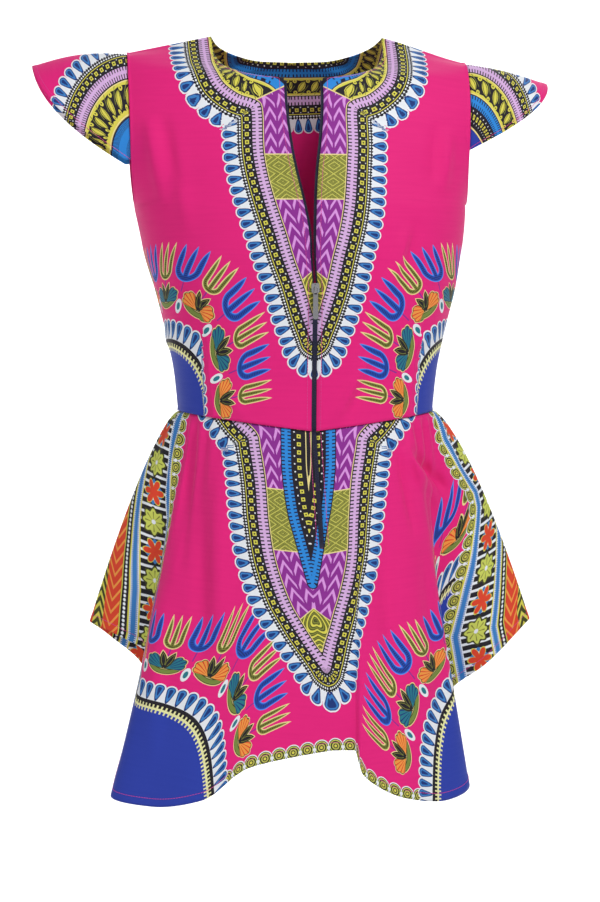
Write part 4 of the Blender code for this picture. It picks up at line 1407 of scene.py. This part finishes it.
BANDS = motif("yoke bands", ("Along", "Across"), yoke_bands)
INNER_BANDS = motif("leaf and ladder bands", ("Along", "Across"), inner_bands)
CHEST = motif("chest panels", ("Across", "Up", "Half"), panel_stack(CHEST_PANELS))
SKIRT = motif("skirt panels", ("Across", "Up", "Half"), panel_stack(SKIRT_PANELS))
SKIRT_LADDER = motif("skirt ladder", ("Along", "Across"), skirt_ladder)
MEDALLION = motif("corner medallion", ("Angle", "Radius"), medallion)
BORDER = motif("side border", ("Along", "Across"), side_border)
HEM_CHAIN = motif("ring chain", ("Along", "Up"), ring_chain)
WEAVE = make_weave()
print("motifs:", [group.name for group in bpy.data.node_groups])

# %% [markdown]
# ## The printed cotton
#
# One cloth is printed for the whole garment, and each part of it shows its own part of the design. The
# dye soaks through, so both sides of the cloth are coloured. Waxed cotton is crisp and mostly matt, with
# a faint sheen where it turns away.

# %% Printed cotton
MM = 1000.0
DYE_MEAN = 0.42
Yarn = namedtuple("Yarn", "thread depth uneven")
COTTON = Yarn(0.42, 0.00008, 0.10)
TAPE_YARN = Yarn(0.30, 0.00006, 0.35)
SEWING_YARN = Yarn(0.12, 0.00003, 0.3)


def read_map(tree, name):
    """The three numbers of a print map, in millimetres."""
    node = tree.nodes.new("ShaderNodeAttribute")
    node.attribute_name = name
    parts = tree.nodes.new("ShaderNodeSeparateXYZ")
    tree.links.new(node.outputs["Vector"], parts.inputs[0])
    return [Number(tree, parts.outputs[axis]) * MM for axis in range(3)]


def woven(tree, shader, colour, across, along, yarn):
    """Gives a shader the threads' bump and the dye's unevenness."""
    node = tree.nodes.new("ShaderNodeGroup")
    node.node_tree = WEAVE
    tree.links.new(across.socket, node.inputs["Across"])
    tree.links.new(along.socket, node.inputs["Along"])
    node.inputs["Thread"].default_value = yarn.thread
    shade = Number(tree, node.outputs["Uneven"])
    colour = paint(tree, colour, (0.0, 0.0, 0.0, 1.0), (shade - DYE_MEAN) * yarn.uneven)
    tree.links.new(colour, shader.inputs["Base Color"])
    bump = tree.nodes.new("ShaderNodeBump")
    bump.inputs["Strength"].default_value = 0.5
    bump.inputs["Distance"].default_value = yarn.depth
    tree.links.new(node.outputs["Height"], bump.inputs["Height"])
    tree.links.new(bump.outputs["Normal"], shader.inputs["Normal"])
    tree.links.new((shade * 0.16 + 0.62).socket, shader.inputs["Roughness"])


def printed_cotton(name, lay_print):
    made, tree, shader = new_finish(name)
    read = {label: read_map(tree, label) for label in MAPS}
    colour = lay_print(tree, read)
    shader.inputs["Specular IOR Level"].default_value = 0.28
    shader.inputs["Sheen Weight"].default_value = 0.08
    shader.inputs["Sheen Roughness"].default_value = 0.5
    woven(tree, shader, colour, *read["flat"][:2], COTTON)
    return made


NECK_SLOPE, NECK_FOOT, NECK_LINE = -0.48, 30.0, 0.7


def bodice_print(tree, read):
    along, across, half = read["yoke"]
    up = read["flat"][1]
    angle, radius, _ = read["corner"]
    colour = lay(tree, PINK, MEDALLION, angle / MM, radius)
    colour = lay(tree, colour, BANDS, along, across)
    behind = read["flat"][2] > MM / 2
    colour = lay(tree, colour, CHEST, across, up, half)
    above = up - (half * NECK_SLOPE - NECK_FOOT)
    colour = lay(tree, colour, INNER_BANDS, along, across, where=(above > 0.0) | behind)
    return paint(tree, colour, CREAM, (abs(above) < NECK_LINE) & (across < INSIDE) & (1.0 - behind))


def sleeve_print(tree, read):
    along, across, _ = read["yoke"]
    colour = lay(tree, PINK, BANDS, along, across)
    return lay(tree, colour, INNER_BANDS, along * LEAF_COARSER, across)


def skirt_print(tree, read):
    along, across, half = read["yoke"]
    in_along, in_across, _ = read["inner"]
    u, down, border = read["flat"]
    angle, radius, to_hem = read["corner"]
    colour = lay(tree, PINK, HEM_CHAIN, u, to_hem)
    colour = lay(tree, colour, MEDALLION, angle / MM, radius)
    colour = lay(tree, colour, BORDER, down, border)
    colour = lay(tree, colour, BANDS, along, across)
    colour = lay(tree, colour, SKIRT, across, 0.0 - down, half)
    return lay(tree, colour, SKIRT_LADDER, in_along, in_across)


BODICE_COTTON = printed_cotton("printed cotton of the bodice", bodice_print)
SLEEVE_COTTON = printed_cotton("printed cotton of the sleeves", sleeve_print)
SKIRT_COTTON = printed_cotton("printed cotton of the peplum", skirt_print)

# %% Make the cloth
fronts = {}
for side, word in ((1, "left"), (-1, "right")):
    sheet = bodice_sheet(FRONT_ROWS, side, -1, "front bodice")
    made = cloth_object(f"front_{word}_cloth", [sheet], BODICE_COTTON, f"bodice_front_{word}")
    fronts[word] = (sheet, made)
backs = [bodice_sheet(BACK_ROWS, side, 1, "back bodice") for side in (1, -1)]
back_cloth = cloth_object("back_cloth", backs, BODICE_COTTON, "bodice_back")
sleeves = {}
for cap in CAPS:
    sheet = sleeve_sheet(cap)
    made = cloth_object(f"sleeve_{cap.name}_cloth", [sheet], SLEEVE_COTTON, f"cap_sleeve_{cap.name}")
    sleeves[cap.name] = (sheet, made)


def in_slit(centre):
    """True for the faces between the slit's edges, above its end."""
    rights, lefts = skirt_slit[0], skirt_slit[1]
    if not rights[-1, 2] < centre.z < rights[0, 2]:
        return False
    row = int(np.argmin(np.abs(rights[:, 2] - centre.z)))
    return rights[row, 0] < centre.x < lefts[row, 0] and centre.y < 0


skirt_front = skirt_sheet(FRONT_FALLS, "front peplum")
slit_rows = round(SLIT_END * SKIRT_ROWS) + 1
slit_column = int(np.argmin(np.abs(skirt_places(FRONT_FALLS) - CENTRE_FALL)))
skirt_slit = [skirt_front.points[:slit_rows, slit_column + n] for n in (0, 1)]
front_peplum = cloth_object("peplum_front_cloth", [skirt_front], SKIRT_COTTON, "peplum_front", in_slit)
skirt_back = skirt_sheet(BACK_FALLS, "back peplum")
back_peplum = cloth_object("peplum_back_cloth", [skirt_back], SKIRT_COTTON, "peplum_back")

# %% [markdown]
# ## Threads, teeth and metal
#
# The hems are turned up and sewn with pink thread, which shows as a line of stitches on the blue corners.
# A row of stitches also holds the zip's tapes beside each front edge, and goes on round the neck. The
# zip's teeth sit on the tapes' edges above the slider, and below it they lock in turn from each side.

# %% Materials of the threads and the zip
THREAD_PINK = srgb(226, 70, 156)
TAPE_NAVY = srgb(30, 32, 62)
TOOTH_NAVY = srgb(24, 26, 52)
SILVER = srgb(208, 208, 212)


def object_place(tree):
    """The place on an object, in millimetres, as x, y and z."""
    place = tree.nodes.new("ShaderNodeTexCoord")
    parts = tree.nodes.new("ShaderNodeSeparateXYZ")
    tree.links.new(place.outputs["Object"], parts.inputs[0])
    return place.outputs["Object"], [Number(tree, parts.outputs[axis]) * MM for axis in range(3)]


def woven_finish(name, tint, yarn):
    """A plain woven or twisted finish of one tint, for tape and sewing thread."""
    made, tree, shader = new_finish(name)
    _, (x, _, z) = object_place(tree)
    woven(tree, shader, tint, x, z, yarn)
    return made


def worn_finish(name, tint, dark, metallic, rough, scale):
    """A smooth hard finish with fine scratches and worn, duller patches."""
    made, tree, shader = new_finish(name)
    place, _ = object_place(tree)
    wear = tree.nodes.new("ShaderNodeTexNoise")
    wear.inputs["Scale"].default_value = scale
    wear.inputs["Detail"].default_value = 6.0
    wear.inputs["Roughness"].default_value = 0.62
    tree.links.new(place, wear.inputs["Vector"])
    worn = Number(tree, wear.outputs["Fac"])
    tree.links.new(paint(tree, tint, dark, (worn - 0.45) * 0.7), shader.inputs["Base Color"])
    tree.links.new((worn * 0.2 + rough).socket, shader.inputs["Roughness"])
    bump = tree.nodes.new("ShaderNodeBump")
    bump.inputs["Strength"].default_value = 0.12
    bump.inputs["Distance"].default_value = 0.00004
    tree.links.new(worn.socket, bump.inputs["Height"])
    tree.links.new(bump.outputs["Normal"], shader.inputs["Normal"])
    shader.inputs["Metallic"].default_value = metallic
    return made


TAPE = woven_finish("woven zip tape", TAPE_NAVY, TAPE_YARN)
THREAD = woven_finish("pink sewing thread", THREAD_PINK, SEWING_YARN)
TEETH = worn_finish("moulded zip teeth", TOOTH_NAVY, srgb(44, 46, 78), 0.0, 0.22, 900)
METAL = worn_finish("polished zip metal", SILVER, srgb(150, 150, 158), 1.0, 0.10, 260)
for node, finish in (
    ("zip_tape_left", TAPE), ("zip_tape_right", TAPE), ("zip_chain", TAPE),
    ("zip_slider", METAL), ("pull_tab", METAL),
):
    for material_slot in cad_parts[node].material_slots:
        material_slot.material = finish

# %% Stitches
STITCH_LONG = 0.0024
STITCH_PROUD = 0.35
STITCH_PITCH = 0.0031
THREAD_RADIUS = 0.0003
HEM_STITCH = 0.0085
SLEEVE_STITCH = 0.0052
ZIP_STITCH = 0.0046
SLIT_BESIDE = 4


def oriented(centre, across, out, along, scale=(1, 1, 1)):
    """The matrix of a small piece whose x, y and z axes lie across, out and along."""
    turned = Matrix((across, out, along)).transposed().to_4x4()
    return Matrix.Translation(centre) @ turned @ Matrix.Diagonal((*scale, 1))


def sewn_lines(points, edge_first, distance, outside):
    """A line of stitches beside an edge, with the cloth's outward direction at each of its points."""
    out = outward(points, 1)
    out *= np.sign((out * (points - outside)).sum(axis=-1).mean())
    grids = [edge_first(points), edge_first(out)]
    away = lengths(grids[0], 0)
    lines = []
    for grid in grids:
        lines.append(np.array([
            [np.interp(distance, away[:, column], grid[:, column, axis]) for axis in range(3)]
            for column in range(grid.shape[1])
        ]))
    return lines


def travelled_along(line):
    """How far each point of a line is from its start."""
    return np.concatenate([[0], np.cumsum(np.linalg.norm(np.diff(line, axis=0), axis=1))])


def add_stitches(sewing, line, out):
    """Stitches end to end with small gaps along a line."""
    travelled = travelled_along(line)
    for start in np.arange(STITCH_PITCH / 2, travelled[-1] - STITCH_LONG, STITCH_PITCH):
        ends = [
            Vector([np.interp(at, travelled, line[:, axis]) for axis in range(3)])
            for at in (start, start + STITCH_LONG)
        ]
        facing = Vector([np.interp(start, travelled, out[:, axis]) for axis in range(3)])
        along = (ends[1] - ends[0]).normalized()
        across = facing.cross(along).normalized()
        facing = along.cross(across)
        centre = (ends[0] + ends[1]) / 2 + facing * THREAD_RADIUS * STITCH_PROUD
        bmesh.ops.create_cone(
            sewing, cap_ends=True, segments=5, radius1=THREAD_RADIUS, radius2=THREAD_RADIUS * 0.8,
            depth=STITCH_LONG, matrix=oriented(centre, across, facing, along),
        )


def last_row_first(grid):
    return grid[::-1]


def first_column_first(grid):
    return grid.transpose(1, 0, 2)


def sew(name, seams):
    """One object of stitches from several seams: points, which edge, distance from it, a point inside."""
    sewing = bmesh.new()
    for points, edge_first, distance, inner in seams:
        add_stitches(sewing, *sewn_lines(points, edge_first, distance, np.array(inner)))
    made = made_of(sewing, name, THREAD)
    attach(made, "garment")
    print(name, len(made.data.polygons), "faces")


NECK_ROW = (len(BACK_BELOW_ARM) + 5) * BACK_STEPS
slit_right, slit_left = (
    skirt_front.points[:slit_rows, slit_column + first:slit_column + first + step * SLIT_BESIDE:step]
    for first, step in ((0, -1), (1, 1))
)
IN_CHEST, IN_WAIST, IN_HIPS = (0, 0, -0.2), (0, 0, -0.4), (0, 0, -0.6)
UNDER_CAP_X, UNDER_CAP_Z = 0.19, -0.3
hem_seams = [(sheet.points, last_row_first, HEM_STITCH, IN_HIPS) for sheet in (skirt_front, skirt_back)]
for cap in CAPS:
    under_cap = (cap.side * UNDER_CAP_X, 0, UNDER_CAP_Z)
    hem_seams.append((sleeves[cap.name][0].points, last_row_first, SLEEVE_STITCH, under_cap))
edge_grids = [(fronts[word][0].points, IN_CHEST) for word in ("left", "right")]
edge_grids += [(sheet.points[NECK_ROW:], IN_CHEST) for sheet in backs]
edge_grids += [(grid, IN_WAIST) for grid in (slit_right, slit_left)]
sew("hem_stitches", hem_seams)
sew("edge_stitches", [(grid, first_column_first, ZIP_STITCH, inner) for grid, inner in edge_grids])

# %% Zip teeth
TOOTH_PITCH = 0.0014
TOOTH_OPEN = (0.0019, 0.0016, 0.0008)
TOOTH_CLOSED = (0.0027, 0.0013, 0.0009)
TOOTH_SHIFT = 0.0008
CHAIN_SET_IN = 0.0005
TAPE_SHOWS = 0.0022
TAPE_HALF_GAP = 0.0014
TAPE_BEHIND = 0.0023
SLIDER_ROW = 3.0
SLIDER_CLEAR = 0.0066
ZIP_TOP_ROW = 10


def zip_line(word, skirt_edge):
    """The garment's edge beside the zip, from the top of the V down to the slit's end."""
    bodice_edge = fronts[word][0].points[:ZIP_TOP_ROW * FINE_STEPS + 1, 0][::-1]
    return np.vstack([bodice_edge, skirt_edge[1:-1]])


def evenly(line, pitch):
    """Points one pitch apart along a line."""
    travelled = travelled_along(line)
    stops = np.arange(pitch, travelled[-1] - pitch, pitch)
    return np.stack([np.interp(stops, travelled, line[:, axis]) for axis in range(3)], axis=-1)


def add_tooth(teeth, spot, along, sideways, set_in, size):
    """One tooth, its long side across the zip, moved sideways and into the garment from its spot."""
    along = Vector(along).normalized()
    inwards = Vector((1, 0, 0)).cross(along).normalized()
    centre = Vector(spot) + Vector((sideways, 0, 0)) + inwards * set_in
    bmesh.ops.create_cube(teeth, size=1, matrix=oriented(centre, inwards.cross(along), inwards, along, size))


ZIP_LINES = {"left": zip_line("left", skirt_slit[1]), "right": zip_line("right", skirt_slit[0])}
middle_line = (ZIP_LINES["left"] + ZIP_LINES["right"]) / 2
slider_row = ZIP_TOP_ROW * FINE_STEPS - round(SLIDER_ROW * FINE_STEPS)
slider_z = middle_line[slider_row, 2]
teeth = bmesh.new()
for word, side in (("left", 1), ("right", -1)):
    spots = evenly(ZIP_LINES[word], TOOTH_PITCH)
    for before, spot, after in zip(spots, spots[1:], spots[2:]):
        if spot[2] > slider_z + SLIDER_CLEAR:
            middle_x = np.interp(-spot[2], -middle_line[:, 2], middle_line[:, 0])
            shows = min(TAPE_SHOWS, abs(spot[0] - middle_x) - TAPE_HALF_GAP)
            add_tooth(teeth, spot, after - before, -side * shows, TAPE_BEHIND, TOOTH_OPEN)
for count, spot in enumerate(evenly(middle_line, TOOTH_PITCH)):
    if spot[2] < slider_z - SLIDER_CLEAR:
        nearest = int(np.argmin(np.abs(middle_line[:, 2] - spot[2])))
        low_row, high_row = max(nearest - 2, 0), min(nearest + 2, len(middle_line) - 1)
        along = middle_line[high_row] - middle_line[low_row]
        shift = TOOTH_SHIFT if count % 2 else -TOOTH_SHIFT
        add_tooth(teeth, spot, along, shift, CHAIN_SET_IN, TOOTH_CLOSED)
zip_teeth = made_of(teeth, "zip_teeth", TEETH)
rounding = zip_teeth.modifiers.new("rounding", "BEVEL")
rounding.width = 0.0002
rounding.segments = 1
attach(zip_teeth, "garment")
print("teeth:", len(zip_teeth.data.polygons) // 6)

# %% Say how each sheet was cut
for piece in (fronts["left"][1], back_cloth, sleeves["left"][1], front_peplum, back_peplum):
    print(piece.name, len(piece.data.polygons), "quads")
